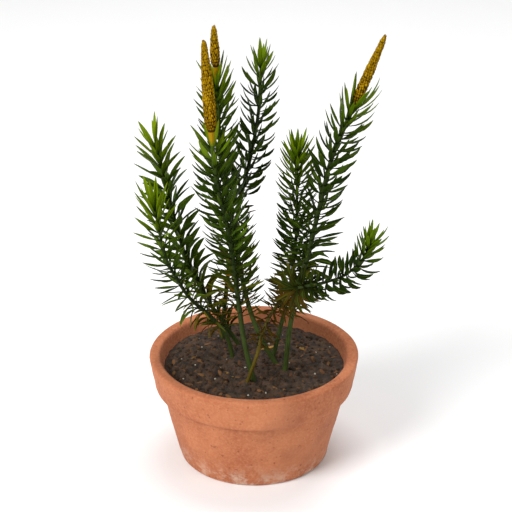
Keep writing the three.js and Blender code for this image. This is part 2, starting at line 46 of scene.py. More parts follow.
# The shoots. "route" runs from a stem's buried end to its tip. The routes are those of the solids, but
# for the rear tip, which stands under a millimetre aside, and the outer stretch of the creeping shoot,
# which lies up to 1.3 mm lower. "radii" are the stem's at its two ends, and "bare" is its length
# without leaves. "tuft" holds the length and width of the leaves at the tip, and "leaf" those of the
# rest. "spread" gives the angles between leaf and stem in the tuft, above the middle and at the
# bottom, and "curl" how far the leaves bend up above the middle and at the bottom. "rows" is the
# distance in which the leaves go once round the stem. "dry" is the length below which some are brown,
# "young" the length of fresh green at the tip, and "tones" the darkest and the lightest tone, from 0
# to 1. Leaves stop "tip_margin" below the tip, and the front side has none for the length "open"
# there, so that the foot of a cone shows. Below "worn_to" leaves are worn, and some are shed.
# "brown_to" ends the brown base of the creeping shoot. The leaves there have the size "rosette_leaf",
# and those below "rosette_from" are worn. A "cone" has its tip and radius, and the length and radii of
# the stalk below it. "seed" is that of the random draws.
# Within a shoot each leaf's tone varies at random, and each shoot's "tones" are set lower as painted
# shade where it gets less light, and higher as painted light where it gets more.
SHOOTS = {
    "front": {
        "route": [
            [2.5, -15.5, 27], [0, -15, 36], [-3.5, -14, 52], [-6, -13, 72],
            [-8.5, -12, 91], [-12, -11, 108], [-13.5, -10, 118], [-14, -10, 125],
        ],
        "radii": (0.9, 0.75), "bare": 35, "tuft": (11, 1.5), "leaf": (10.5, 1.55),
        "spread": (38, 52, 64), "curl": (16, 12), "rows": 2.6, "dry": 46, "young": 15, "seed": 1,
        "tones": (0.2, 1.0), "tip_margin": 3, "open": 7,
        "cone": {"tip": [-16.5, -8, 160.5], "radius": 2.1, "stalk": 3.9, "radii": (0.75, 1.1)},
    },
    "rear": {
        "route": [
            [12, -4, 27], [8.5, -3, 35.5], [3, -2, 45.5], [-1, 0, 55.5], [-4, 1, 67.5],
            [-7, 3, 85], [-10, 4.5, 103.5], [-11.9, 5, 122], [-12.8, 5, 141.5],
        ],
        "radii": (0.9, 0.7), "bare": 35, "tuft": (11.5, 1.35), "leaf": (10, 1.3),
        "spread": (30, 46, 62), "curl": (16, 16), "rows": 2.2, "dry": 52, "young": 16, "seed": 2,
        "tones": (0.3, 1.0), "tip_margin": 1, "open": 1,
        "cone": {"tip": [-13.5, 5, 161.5], "radius": 1.65, "stalk": 5.2, "radii": (0.7, 0.95)},
    },
    "back": {
        "route": [
            [-12, 17, 27], [-12, 17, 34.5], [-10.5, 17, 54], [-8, 17, 74.5],
            [-4.5, 16.5, 94.5], [-1, 15.5, 111], [1.5, 14.5, 126.5], [2.5, 14, 145],
        ],
        "radii": (0.85, 0.5), "bare": 15, "tuft": (9.3, 1.2), "leaf": (9.5, 1.5),
        "spread": (27, 50, 72), "curl": (26, 26), "rows": 3.4, "dry": 62, "young": 14, "seed": 3,
        "tones": (0.0, 0.7), "worn_to": 67,
    },
    "left": {
        "route": [
            [-1, 12.5, 27], [-4.5, 12, 34.5], [-10, 10.5, 44.5], [-16.5, 9, 56],
            [-21.5, 7, 68], [-25.5, 6, 79], [-28, 5, 90.5], [-30.5, 4, 102.5], [-34, 3, 120],
        ],
        "radii": (0.85, 0.4), "bare": 18, "tuft": (11, 1.6), "leaf": (12, 2.1),
        "spread": (29, 49, 66), "curl": (-14, -42), "rows": 4.0, "dry": 40, "young": 20, "seed": 4,
        "tones": (0.55, 1.0),
    },
    "left_low": {
        "route": [
            [-7, 2, 27], [-7.5, 1, 35], [-10, -1, 47.5], [-16, -3, 56.5],
            [-22.5, -5, 64], [-27.5, -7, 73.5], [-31, -8.5, 83], [-34, -9, 100],
        ],
        "radii": (0.85, 0.4), "bare": 23, "tuft": (12.8, 1.45), "leaf": (9.6, 1.15),
        "spread": (29, 56, 98), "curl": (-4, -44), "rows": 3.0, "dry": 36, "young": 23, "seed": 5,
        "tones": (0.25, 0.9),
    },
    "right": {
        "route": [
            [10, -8.5, 27], [11, -8, 36], [12.5, -7, 51.5], [15, -6, 67], [18.5, -5, 79],
            [21, -3.5, 90.5], [23.5, -2.5, 102], [26, -1.5, 113.5], [29.5, -0.5, 123.5],
            [34, 0, 134.5],
        ],
        "radii": (0.9, 0.7), "bare": 32, "tuft": (13, 1.4), "leaf": (10.2, 1.6),
        "spread": (30, 50, 90), "curl": (20, -36), "rows": 2.9, "dry": 44, "young": 18, "seed": 6,
        "tones": (0.0, 0.65), "open": 2,
        "cone": {"tip": [44, 2, 159], "radius": 1.75, "stalk": 0.5, "radii": (0.7, 0.95)},
    },
    "right_short": {
        "route": [
            [4.5, 1, 27], [6.5, 2, 35], [9, 3, 46], [12, 4, 59.5],
            [14, 4, 73], [15, 4, 87], [15, 4, 101], [15, 4, 115],
        ],
        "radii": (0.85, 0.4), "bare": 28, "tuft": (10.3, 1.25), "leaf": (9.2, 1.2),
        "spread": (33, 54, 78), "curl": (26, 0), "rows": 1.75, "dry": 42, "young": 20, "seed": 7,
        "tones": (0.0, 0.85),
    },
    "creeping": {
        "route": [
            [-4.5, -15, 27], [-2.5, -17, 36.5], [1, -19.5, 49], [3.5, -20.5, 60],
            [7.5, -20.5, 68.5], [12.5, -25, 75.5], [14, -31, 80.5], [16.5, -35, 83.4],
            [20.5, -36.5, 84.9], [29.5, -35, 87.2], [36, -33, 92.4], [38.5, -32, 98.2],
        ],
        "radii": (0.65, 0.4), "bare": 27, "tuft": (8.2, 1.4), "leaf": (7.5, 1.7),
        "spread": (36, 68, 88), "curl": (14, 8), "rows": 2.2, "dry": 64, "young": 11, "seed": 8,
        "tones": (0.0, 0.28), "brown_to": 66, "rosette_from": 52, "rosette_leaf": (9.8, 1.2),
    },
}

# Stems: how finely they are made, their ribs, and how far below its end the brown one turns green
ROUTE_STEP = 0.6
CONE_STEP = ROUTE_STEP / 2
CURVE_SAMPLES = 40
STEM_SIDES = 24
STEM_RIBS = 8
STEM_RIB_DEPTH = 0.07
GREENING_LENGTH = 14

# Leaves: how close they stand, and how they change from the tuft to the lowest
LEAVES_ROUND = 6.6
TIP_MARGIN = 0.3
CROWDING = 0.6
CROWDED_LENGTH = 8
TUFT_LENGTH = 16
TUFT_CURL = 0.2
TUFT_TWIST = 0.25
BUD_LENGTH = 3
BUD_CLOSING = 0.5
LOW_LEAVES_FROM = 0.45
LOW_LEAVES_TO = 0.85
BASE_LEAVES_FROM = 0.8
BASE_LENGTH = 0.75
BASE_WIDTH = 0.7
BASE_SHADE = 0.6
LEAF_TWIST = 70
TWISTED_SHARE = 0.5
ROOT_DEPTH = 0.15
UNDERSIDE_CURL = 0.9
UNDERSIDE_STRETCH = 0.08

# A straight leaf still bends by this many radians, because its bend is a divisor
LEAST_BEND = 0.003

# How far single leaves vary: the turn by radians, the rest by shares
TURN_VARIES = (-0.09, 0.09)
LEAN_VARIES = (-0.13, 0.13)
BEND_VARIES = (-0.3, 0.3)
LENGTH_VARIES = (-0.12, 0.08)
WIDTH_VARIES = (-0.22, 0.22)

# Each draw of a leaf takes the shoot's seed plus its place in this list
SEEDS_PER_SHOOT = 100
LEAF_DRAWS = [
    "scatter", "turn", "is dry", "how dry", "lean", "bend", "length", "width",
    "dry lean", "dry bend", "twist", "tone", "is shed", "fade",
]

# Dry, faded, worn and shed leaves. From DRY_FADE below a shoot's "dry" length to DRY_FADE above it
# the share of dry ones falls to none. A dry one leans and bends by these radians more or less.
DRY_SHARE = 0.6
DRY_FADE = (6, 4)
DRY_STRENGTH = (0.65, 1.0)
DRY_LEAN = (-0.1, 0.35)
DRY_BEND = (-0.4, 0.35)
DRY_SHORTENING = 0.12
DRY_NARROWING = 0.3
UNDERSIDE_DRYNESS = 1.2
FADED_LENGTH = 14
FADED_SHARE = (0.05, 0.45)
WORN_LENGTH = 0.8
WORN_BEND = 2.0
SHED_SHARE = 0.5
ROSETTE_ROWS = 1.8
ROSETTE_DRY_SHARE = 0.75
ROSETTE_SHED_SHARE = 0.1

# What leaves keep clear of: the soil, a cone's front, and the other stems and cones. Each leaf is
# tested at these shares of its length.
LEAF_FLOOR = 38.8
FRONT_SIDE = -0.45
CLEARANCE = 1.25
GUARD_DEPTH = 0.9
GUARDS_ROUND = 6
TESTED_SHARES = (0.2, 0.4, 0.6, 0.8, 1.0)

# The unit leaf, the cone scale and the shed leaf: widths along them, and the section
LEAF_OUTLINE = [
    (0, 0.5), (0.1, 0.52), (0.26, 0.76), (0.43, 0.98), (0.62, 0.98), (0.8, 0.68), (0.93, 0.32),
]
LEAF_SECTION = [(-0.5, 0.11), (0, -0.24), (0.5, 0.11), (0.27, 0.09), (0, 0.02), (-0.27, 0.09)]
SCALE_OUTLINE = [
    (0, 0.6), (0.16, 0.8), (0.36, 1.0), (0.55, 0.98), (0.72, 0.74), (0.87, 0.42), (0.96, 0.18),
]
SCALE_SECTION = [(-0.5, 0), (-0.27, -0.2), (0, -0.27), (0.27, -0.2), (0.5, 0), (0, 0.02)]
SHED_OUTLINE = [(0, 0.3), (0.15, 0.5), (0.4, 0.95), (0.65, 0.9), (0.85, 0.5)]
SHED_SECTION = [(-0.5, 0.16), (0, -0.1), (0.5, 0.16), (0, 0.1)]
SHED_BEND = 0.6

# Cones: their scales, the core under them and the stalk below
SCALES_PER_RADIUS = 6.96
SCALE_ROWS = 0.92
SCALE_LENGTH = 1.7
SCALE_WIDTH = 1.05
SCALE_LEAN = 17
SCALE_CURL = 27
SCALE_TWIST = 42
SCALE_SCATTER = 0.2
SCALE_IRREGULARITY = 0.9
SCALE_NARROWING = 0.6
TIP_SCALES = 0.75
TIP_SHORTENING = 0.5
TIP_CLOSING = 0.7
FOOT_LENGTH = 1.0
CORE_DEPTH = 0.5
CORE_SHARE = 0.6
CONE_FOOT = 0.78
CONE_FOOT_SHARE = 0.06
CONE_TAPER_FROM = 0.2
CONE_TAPER = 0.56
STALK_OVERLAP = 1.0

# Pot
POT_HEIGHT = 40
POT_WALL = 4
POT_FLOOR = 5
POT_BASE_RADIUS = 27
POT_INSIDE_RADIUS = 23.8
POT_WAIST_RADIUS = 33.8
POT_RIM_RADIUS = 38
COLLAR_LEVEL = 28
COLLAR_RADIUS = 36
CORNER_STEPS = 5
POT_STEP = 1.6
POT_SEGMENTS = 144
POT_FOOT_RADIUS = 20
POT_FOOT_HEIGHT = 1
SHARP_EDGE = 50
DRAIN_COUNT = 3
DRAIN_SIDES = 32
DRAIN_RADIUS = 3
DRAIN_DEPTH = 14
DRAIN_FROM_CENTRE = 13

# Each corner of the pot's outline: distance from the axis, height and how far it is rounded
POT_OUTLINE = [
    (0, 0, 0),
    (POT_BASE_RADIUS, 0, 1.0),
    (POT_WAIST_RADIUS, COLLAR_LEVEL, 0.5),
    (COLLAR_RADIUS, COLLAR_LEVEL, 0.9),
    (POT_RIM_RADIUS, POT_HEIGHT, 1.3),
    (POT_RIM_RADIUS - POT_WALL, POT_HEIGHT, 1.1),
    (POT_INSIDE_RADIUS, POT_FLOOR, 1.5),
    (0, POT_FLOOR, 0),
]

# How far the wall is off the true circle: a slow wobble, ridges from the turning and small dents. A
# rate is how fast one of them changes in a millimetre.
WOBBLE = 0.35
WOBBLE_RATE = 0.05
RIDGE = 0.035
RIDGE_RATE = 3.7
RIDGE_SWAY = 2
RIDGE_SWAY_RATE = 0.04
DENT = 0.07
DENT_RATE = 0.45

# Soil: its waves are as in the solid. Each of its lumps has a rate and a height.
SOIL_EDGE = 35
SOIL_RADIUS = 32.7
SOIL_BOTTOM = 5.1
SOIL_BOTTOM_RADIUS = 23.4
SOIL_STEP = 0.75
SOIL_WALL_STEP = 4
SOIL_SEGMENTS = 150
SOIL_MOUND = 1.6
SOIL_WAVE_HEIGHT = 0.35
SOIL_WAVES = [(0.62, 0.21), (-0.33, 0.55), (0.9, 0.9)]
SOIL_WAVE_FADE = 6
SOIL_LUMPS = [(0.22, 0.7), (0.6, 0.5), (1.6, 0.25)]
STEM_HEAP = 0.9
STEM_HEAP_RADIUS = 2.4

# Each kind of litter: its size, the spacing of two, how far it keeps from a stem and how far from the
# pot's axis it lies, and its finish
LITTER = {
    "Clod": ((1.5, 1.5, 1.5), 1.7, 1.4, 31.2, "crumb"),
    "Chip": ((1.5, 1.5, 1.2), 3.2, 2.0, 30.4, "bark"),
    "Grit": ((0.8, 0.8, 0.8), 6.0, 1.6, 31.2, "grit"),
    "Needle": ((9.0, 1.5, 1.5), 9.5, 6.0, 24.0, "straw"),
}
LITTER_SIZES = (0.55, 1.25)
LITTER_CROWDING = 1.2
LITTER_UPRIGHT = 0.3

# What is added to a kind's place in the list for the seeds of its sizes and tones
LITTER_SIZE_DRAW = 10
LITTER_TONE_DRAW = 20

# The lumps among the litter: how rough they are, then where each lies in the noise, and its shape
LUMP_SIDES = 8
LUMP_RINGS = 5
LUMP_ROUGHNESS = 0.55
LUMP_RATE = 2.3
LUMPS = {"Clod": (3, (1, 0.85, 0.7)), "Chip": (8, (1.9, 0.8, 0.3)), "Grit": (5, (1, 0.9, 0.8))}

# The photograph's view
CAMERA_ELEVATION = 25
CAMERA_LENS = 120
CAMERA_SENSOR = 36
PICTURE_SIDE = 512
MM_PER_PIXEL = 0.35
CAMERA_TARGET = (0.7, 0.0, 89.9)
PICTURE_LIFT = 30

# The studio, in metres: how near and far the camera sees, a floor that bends up into a backdrop, and
# each light's place, size and watts
CAMERA_CLIP = (0.01, 10)
FLOOR_FRONT = -3.0
FLOOR_BACK = 2.0
FLOOR_HALF_WIDTH = 3.0
BACKDROP_HEIGHT = 2.2
BACKDROP_BEND = 0.6
BACKDROP_STEPS = 15
LIGHTS = {
    "key": ((-0.7, -0.65, 0.8), 0.6, 14),
    "fill": ((0.8, -0.5, 0.5), 0.8, 2.2),
    "top": ((0.1, 0.3, 1.0), 0.7, 6),
}
LIGHT_TARGET = (0, 0, 0.08)
SKY_STRENGTH = 0.33

# Finishes: the leaves' streaks, which run along them and differ from tone to tone, and then, in
# millimetres, the fibres of stems and the grain of cone cores and crumbs
STREAKS_ACROSS = 3.0
STREAKS_ALONG = 0.9
STREAKS_DIFFER = 57.0
STREAK_SIZE = 0.7
FIBRE_SIZE = 0.5
GRAIN_SIZE = 0.7

# The bloom of salt on the pot: how high it reaches, where it is full, and how far its edge sways
SALT_TOP = 19
SALT_FULL = 4
SALT_SWAY = 14

# Beyond either end of any stem, in metres
FAR_BELOW = -1.0
FAR_ABOVE = 1.0

# The inputs of the tree that grows a shoot or a cone. A length is in metres and an angle in radians.
# The "sparse" stretch is that of worn leaves, and the sparse share of them is shed.
SHOOT_NUMBERS = [
    "Stem from", "Stem to", "Leaves from", "Leaves to", "Bare length", "Leaf distance", "Leaf turn",
    "Crowding", "Scatter", "Tuft leaf length", "Leaf length", "Tuft leaf width", "Leaf width",
    "Tuft spread", "Middle spread", "Low spread", "Curl", "Low curl", "Twist", "Irregularity",
    "Bud shortening", "Bud closing", "Open length", "Width follows stem", "Full thickness",
    "Sparse to", "Sparse share", "Young length", "Darkest tone", "Lightest tone", "Dry to",
    "Dry share", "Stem dryness", "Lowest tip", "Clearance", "Ribs", "Rib depth",
]
NO_NUMBERS = dict.fromkeys(SHOOT_NUMBERS, 0.0)
SHOOT_INPUTS = {
    "Geometry": "NodeSocketGeometry",
    "Leaf": "NodeSocketObject",
    "Neighbours": "NodeSocketObject",
    **dict.fromkeys(SHOOT_NUMBERS, "NodeSocketFloat"),
    "Seed": "NodeSocketInt",
    "Leaf material": "NodeSocketMaterial",
    "Stem material": "NodeSocketMaterial",
}


class Wire:
    """A node's output, which takes part in plain arithmetic."""

    def __init__(self, bench, socket):
        self.bench = bench
        self.socket = socket

    def other(self, name):
        """Another output of the same node."""
        return Wire(self.bench, found(self.socket.node.outputs, name))

    def __add__(self, other):
        return self.bench.combined("ADD", self, other)

    def __radd__(self, other):
        return self.bench.combined("ADD", other, self)

    def __sub__(self, other):
        return self.bench.combined("SUBTRACT", self, other)

    def __rsub__(self, other):
        return self.bench.combined("SUBTRACT", other, self)

    def __mul__(self, other):
        return self.bench.combined("MULTIPLY", self, other)

    def __rmul__(self, other):
        return self.bench.combined("MULTIPLY", other, self)

    def __truediv__(self, other):
        return self.bench.combined("DIVIDE", self, other)

    def __rtruediv__(self, other):
        return self.bench.combined("DIVIDE", other, self)

    def __lt__(self, other):
        return self.bench.combined("LESS_THAN", self, other)

    def __gt__(self, other):
        return self.bench.combined("GREATER_THAN", self, other)


def found(sockets, key):
    """The socket with that index, name or identifier, or the first one in use if key is None."""
    if isinstance(key, int):
        return sockets[key]
    for socket in sockets:
        if socket.enabled and key in (None, socket.name, socket.identifier):
            return socket
    raise KeyError(f"no socket {key!r} among {[socket.name for socket in sockets]}")


def is_vector(value):
    if isinstance(value, Wire):
        return value.socket.type == "VECTOR"
    return isinstance(value, tuple)


def kind_of(value):
    return "FLOAT_VECTOR" if is_vector(value) else "FLOAT"


def colour(shade):
    """A code such as "#a9603d" as linear red, green, blue and alpha. A wire stays as it is."""
    if isinstance(shade, Wire):
        return shade
    parts = [int(shade[start : start + 2], 16) / 255 for start in (1, 3, 5)]
    return (*(s / 12.92 if s <= 0.04045 else ((s + 0.055) / 1.055) ** 2.4 for s in parts), 1.0)


class Bench:
    """A node tree in the making."""

    def __init__(self, tree):
        self.tree = tree

    def node(self, kind, settings=None, values=None, output=None):
        """Adds a node: first its settings, then the value or wire of each socket."""
        made = self.tree.nodes.new(kind)
        for name, setting in (settings or {}).items():
            setattr(made, name, setting)
        for key, value in (values or {}).items():
            socket = found(made.inputs, key)
            if isinstance(value, Wire):
                self.tree.links.new(value.socket, socket)
            else:
                socket.default_value = value
        return Wire(self, found(made.outputs, output)) if made.outputs else None

    def combined(self, operation, first, second):
        """The node of one operator: Vector Math where a vector takes part, or else Math."""
        vectors = is_vector(first), is_vector(second)
        if not any(vectors):
            return self.math(operation, first, second)
        if operation == "MULTIPLY" and not all(vectors):
            vector, number = (first, second) if vectors[0] else (second, first)
            values = {"Vector": vector, "Scale": number}
            return self.node("ShaderNodeVectorMath", {"operation": "SCALE"}, values)
        return self.vector_math(operation, first, second)

    def math(self, operation, *values):
        return self.node("ShaderNodeMath", {"operation": operation}, dict(enumerate(values)))

    def vector_math(self, operation, *values):
        return self.node("ShaderNodeVectorMath", {"operation": operation}, dict(enumerate(values)))

    def axes(self, vector):
        """The X, Y and Z of a vector."""
        x = self.node("ShaderNodeSeparateXYZ", None, {"Vector": vector}, "X")
        return x, x.other("Y"), x.other("Z")

    def largest(self, first, *others):
        for other in others:
            first = self.math("MAXIMUM", first, other)
        return first

    def smooth(self, value, low, high):
        """0 below low, 1 above high, and a smooth rise between them."""
        values = {"Value": value, "From Min": low, "From Max": high}
        return self.node("ShaderNodeMapRange", {"interpolation_type": "SMOOTHSTEP"}, values)

    def between(self, share, first, second):
        """The number at that share of the way from first to second."""
        return self.node("ShaderNodeMix", None, {"Factor": share, "A": first, "B": second})

    def mixed(self, share, first, second):
        """The colour at that share of the way from first to second."""
        values = {"Factor": share, "A": colour(first), "B": colour(second)}
        return self.node("ShaderNodeMix", {"data_type": "RGBA"}, values)

    def noise(self, place, size, detail=2.0, roughness=0.5):
        """Noise from 0 to 1 whose lumps are about that many metres wide."""
        values = {"Vector": place, "Scale": 1 / size, "Detail": detail, "Roughness": roughness}
        return self.node("ShaderNodeTexNoise", None, values, "Fac")

    def fibres(self, place, stretch):
        """Fine noise that is drawn out upwards: stretch is the scale of its height."""
        return self.noise(self.vector_math("MULTIPLY", place, (1.0, 1.0, stretch)), FIBRE_SIZE * MM)

    def bump(self, height, strength, distance):
        values = {"Height": height, "Strength": strength, "Distance": distance}
        return self.node("ShaderNodeBump", None, values)


def material(name, finish):
    """A material whose Principled shader takes the sockets that finish returns."""
    made = bpy.data.materials.new(name)
    made.use_nodes = True
    made.node_tree.nodes.clear()
    bench = Bench(made.node_tree)
    place = bench.node("ShaderNodeTexCoord", None, None, "Object")
    shader = bench.node("ShaderNodeBsdfPrincipled", None, finish(bench, place))
    bench.node("ShaderNodeOutputMaterial", None, {"Surface": shader})
    return made


def painted(bench, name):
    """What a named attribute of the mesh holds at each place."""
    return bench.node("ShaderNodeAttribute", {"attribute_name": name}, None, "Fac")


def leaf_finish(bench, place):
    """Dark or fresh green, pale midrib, streaky brown where dry; painted shade at foot and underside."""
    tone, youth, dryness = (painted(bench, name) for name in ("tone", "youth", "dryness"))
    along, across, under = (painted(bench, f"leaf_{side}") for side in ("along", "across", "under"))
    axes = {"X": across * STREAKS_ACROSS, "Y": along * STREAKS_ALONG, "Z": tone * STREAKS_DIFFER}
    streaks = bench.noise(bench.node("ShaderNodeCombineXYZ", None, axes), STREAK_SIZE, 3.0)

    old = bench.mixed(bench.smooth(tone, 0.1, 0.9), "#1d2f07", "#445d10")
    young = bench.mixed(tone, "#526e00", "#7a9002")
    green = bench.mixed(youth * bench.smooth(along, -0.1, 0.6), old, young)
    midrib = 1 - bench.smooth(bench.math("ABSOLUTE", across), 0.04, 0.24)
    green = bench.mixed(midrib * (1 - under) * 0.35, green, "#748428")
    green = bench.mixed(bench.smooth(streaks, 0.45, 0.75) * 0.4, green, "#1b2602")

    brown = bench.mixed(bench.smooth(streaks + tone * 0.4, 0.4, 0.9), "#3a2606", "#7a5a10")
    green_left = bench.smooth(bench.noise(place, 4 * MM), 0.5, 0.62)
    brown = bench.mixed(green_left * 0.6, brown, "#3f4510")
    brown = bench.mixed(painted(bench, "worn") * 0.75, brown, "#3c2406")

    shade = bench.mixed(dryness, green, brown)
    shaded_foot = 1 - bench.smooth(along, 0.0, 0.4)
    shade = bench.mixed(shaded_foot * 0.6, shade, "#121a01")
    # Painted shade: each leaf's underside is darker.
    shade = bench.mixed(bench.smooth(under, 0.0, 0.7) * 0.36, shade, "#162202")
    dry_tip = bench.smooth(along, 0.86, 1.0)
    shade = bench.mixed(dry_tip * 0.25, shade, "#8a7a20")
    return {
        "Base Color": shade,
        "Roughness": 0.42 + streaks * 0.16 + dryness * 0.2,
        "Specular IOR Level": 0.04,
        "Normal": bench.bump(streaks, 0.35, 0.08 * MM),
    }


def stem_finish(bench, place):
    """Dull green with painted shade among the leaves, fresher at the tip, or brown where it is dry."""
    youth, dryness, along = (painted(bench, name) for name in ("youth", "dryness", "leaf_along"))
    ribs = bench.fibres(place, 0.18)
    patches = bench.noise(place, 6 * MM)
    green = bench.mixed(patches, "#2e3b16", "#465526")
    green = bench.mixed(youth * 0.35, green, "#3f520a")
    shade = bench.mixed(dryness, green, bench.mixed(patches, "#45390f", "#6f6020"))
    # Painted shade: the stem is darker where the leaves cover it.
    painted_leaf_shade = bench.smooth(along, 0.2, 0.45)
    shade = bench.mixed(painted_leaf_shade * 0.5, shade, "#18230b")
    near_tip = bench.smooth(along, 0.84, 0.96)
    shade = bench.mixed(near_tip * 0.35, shade, "#587210")
    shade = bench.mixed(bench.smooth(ribs, 0.5, 0.7) * 0.45, shade, "#1a2008")
    return {
        "Base Color": shade,
        "Roughness": 0.5 + ribs * 0.2,
        "Specular IOR Level": 0.08,
        "Normal": bench.bump(ribs, 0.5, 0.12 * MM),
    }


def cone_finish(bench, place):
    """Ochre scales with lighter tips, brown rims, and painted shade in the hollows between them."""
    tone, along, across = (painted(bench, name) for name in ("tone", "leaf_along", "leaf_across"))
    mottle = bench.noise(place, 0.6 * MM, 3.0)
    shade = bench.mixed(tone, "#765604", "#ad8608")
    shade = bench.mixed(bench.smooth(along, 0.6, 0.95) * 0.5, shade, "#b08c18")
    # Painted shade in the hollow at the foot of each scale, weaker at the cone's foot and tip.
    painted_hollow_shade = (1 - bench.smooth(along, 0.3, 0.56)) * (1 - painted(bench, "end") * 0.8)
    shade = bench.mixed(painted_hollow_shade, shade, "#3a2402")
    rim = bench.smooth(bench.math("ABSOLUTE", across), 0.4, 0.95)
    shade = bench.mixed(rim * 0.5, shade, "#402a02")
    shade = bench.mixed(bench.smooth(mottle, 0.5, 0.7) * 0.5, shade, "#5a3a04")
    return {
        "Base Color": shade,
        "Roughness": 0.55 + mottle * 0.2,
        "Specular IOR Level": 0.02,
        "Normal": bench.bump(mottle, 0.3, 0.1 * MM),
    }


def core_finish(bench, place):
    """The dark brown body under the scales, which is ochre at its very tip."""
    grain = bench.noise(place, GRAIN_SIZE * MM, 3.0, 0.6)
    near_tip = bench.smooth(painted(bench, "leaf_along"), 0.94, 0.98)
    return {
        "Base Color": bench.mixed(near_tip, bench.mixed(grain, "#2e1c04", "#4a300a"), "#8a6606"),
        "Roughness": 0.75 + grain * 0.2,
        "Specular IOR Level": 0.02,
    }


def stalk_finish(bench, place):
    """Green that turns yellow towards the cone."""
    fibres = bench.fibres(place, 0.2)
    shade = bench.mixed(bench.smooth(painted(bench, "leaf_along"), 0.0, 0.55), "#5e6e06", "#997806")
    shade = bench.mixed(bench.smooth(fibres, 0.5, 0.75) * 0.35, shade, "#6c5a10")
    return {
        "Base Color": shade,
        "Roughness": 0.45 + fibres * 0.15,
        "Specular IOR Level": 0.06,
        "Normal": bench.bump(fibres, 0.3, 0.1 * MM),
    }


def clay_finish(bench, place):
    """Fired clay with dark specks, damp patches and a bloom of salt low on the wall."""
    height = bench.axes(place)[2]
    blotches = bench.noise(place, 22 * MM, 4.0, 0.6)
    grain = bench.noise(place, 0.9 * MM, 4.0, 0.65)
    specks = bench.noise(place, 1.6 * MM)
    clay = bench.mixed(bench.smooth(blotches, 0.3, 0.7), "#9c5330", "#b97048")
    clay = bench.mixed(bench.smooth(grain, 0.35, 0.75) * 0.5, clay, "#c98a61")
    clay = bench.mixed(bench.smooth(specks, 0.66, 0.72) * 0.55, clay, "#6b3219")
    salt_level = bench.smooth(height + blotches * (SALT_SWAY * MM), SALT_TOP * MM, SALT_FULL * MM)
    salt = salt_level * bench.smooth(bench.noise(place, 5 * MM, 5.0, 0.7), 0.42, 0.66)
    clay = bench.mixed(salt * 0.6, clay, "#dfcdb8")
    damp = bench.smooth(bench.noise(place, 30 * MM), 0.55, 0.7)
    clay = bench.mixed(damp * 0.3, clay, "#7d4125")
    return {
        "Base Color": clay,
        "Roughness": 0.8 + grain * 0.15 - damp * 0.1,
        "Normal": bench.bump(grain * 0.6 + specks * 0.4, 0.45, 0.3 * MM),
    }


def earth_finish(bench, place):
    """Dark earth with lighter fibres in it."""
    lumps = bench.noise(place, 3 * MM, 5.0, 0.65)
    fibres = bench.noise(place, 0.8 * MM, 3.0, 0.7)
    shade = bench.mixed(bench.smooth(lumps, 0.35, 0.68), "#1d140c", "#4a3524")
    shade = bench.mixed(bench.smooth(fibres, 0.58, 0.75) * 0.6, shade, "#6e5236")
    return {
        "Base Color": shade,
        "Roughness": 0.85 + lumps * 0.1,
        "Normal": bench.bump(fibres + lumps, 0.7, 0.5 * MM),
    }


def crumb_finish(dark, light):
    """The finish of loose pieces that each have their own tone between two colours."""

    def finish(bench, place):
        grain = bench.noise(place, GRAIN_SIZE * MM, 3.0, 0.6)
        return {
            "Base Color": bench.mixed(painted(bench, "tone") * 0.7 + grain * 0.3, dark, light),
            "Roughness": 0.75 + grain * 0.2,
            "Specular IOR Level": 0.2,
            "Normal": bench.bump(grain, 0.5, 0.2 * MM),
        }

    return finish


def floor_finish(bench, place):
    return {"Base Color": (0.9, 0.9, 0.9, 1.0), "Roughness": 0.9}


def curve_through(points):
    """Evenly spaced points, in metres, on the smooth curve through the points of a route."""
    points = np.array(points, float)
    ends = np.vstack([2 * points[0] - points[1], points, 2 * points[-1] - points[-2]])
    share = np.linspace(0, 1, CURVE_SAMPLES, endpoint=False)[:, None]
    fine = []
    for before, start, end, after in zip(ends, ends[1:], ends[2:], ends[3:]):
        square = 2 * before - 5 * start + 4 * end - after
        cube = 3 * (start - end) + after - before
        fine.append(start + 0.5 * ((end - before) * share + square * share**2 + cube * share**3))
    fine = np.vstack([*fine, points[-1:]])
    lengths = np.append(0, np.cumsum(np.linalg.norm(np.diff(fine, axis=0), axis=1)))
    wanted = np.linspace(0, lengths[-1], max(2, round(lengths[-1] / ROUTE_STEP) + 1))
    return np.column_stack([np.interp(wanted, lengths, fine[:, k]) for k in range(3)]) * MM


def length_of(line):
    """The length of a line of points."""
    return float(np.linalg.norm(np.diff(line, axis=0), axis=1).sum())


def straight_line(start, end):
    """Evenly spaced points, in metres, from start to end."""
    count = max(2, round((end - start).length / (CONE_STEP * MM)) + 1)
    share = np.linspace(0, 1, count)[:, None]
    return np.array(start) * (1 - share) + np.array(end) * share


def new_object(name, data):
    made = bpy.data.objects.new(name, data)
    bpy.context.scene.collection.objects.link(made)
    return made


def mesh_object(name, vertices, edges=(), faces=()):
    mesh = bpy.data.meshes.new(name)
    mesh.from_pydata(vertices, edges, faces)
    return new_object(name, mesh)


def shape_object(name, shape):
    """The object of a bmesh, which is freed."""
    mesh = bpy.data.meshes.new(name)
    shape.to_mesh(mesh)
    shape.free()
    return new_object(name, mesh)


def discard(*objects):
    for made in objects:
        bpy.data.objects.remove(made)


def made_plain(carrier):
    """Gives an object the mesh that its modifiers make, in place of them."""
    depsgraph = bpy.context.evaluated_depsgraph_get()
    mesh = bpy.data.meshes.new_from_object(
        carrier.evaluated_get(depsgraph), preserve_all_data_layers=True, depsgraph=depsgraph
    )
    carrier.modifiers.clear()
    carrier.data = mesh
    mesh.name = carrier.name
    return mesh


def set_values(mesh, name, values):
    """Stores one number at each vertex."""
    layer = mesh.attributes.new(name, "FLOAT", "POINT")
    layer.data.foreach_set("value", np.asarray(values, np.float32))


def line_object(name, line, radii):
    """An open line of edges whose vertices know how thick the stem is there."""
    made = mesh_object(name, line.tolist(), [(k, k + 1) for k in range(len(line) - 1)])
    set_values(made.data, "thickness", radii)
    return made


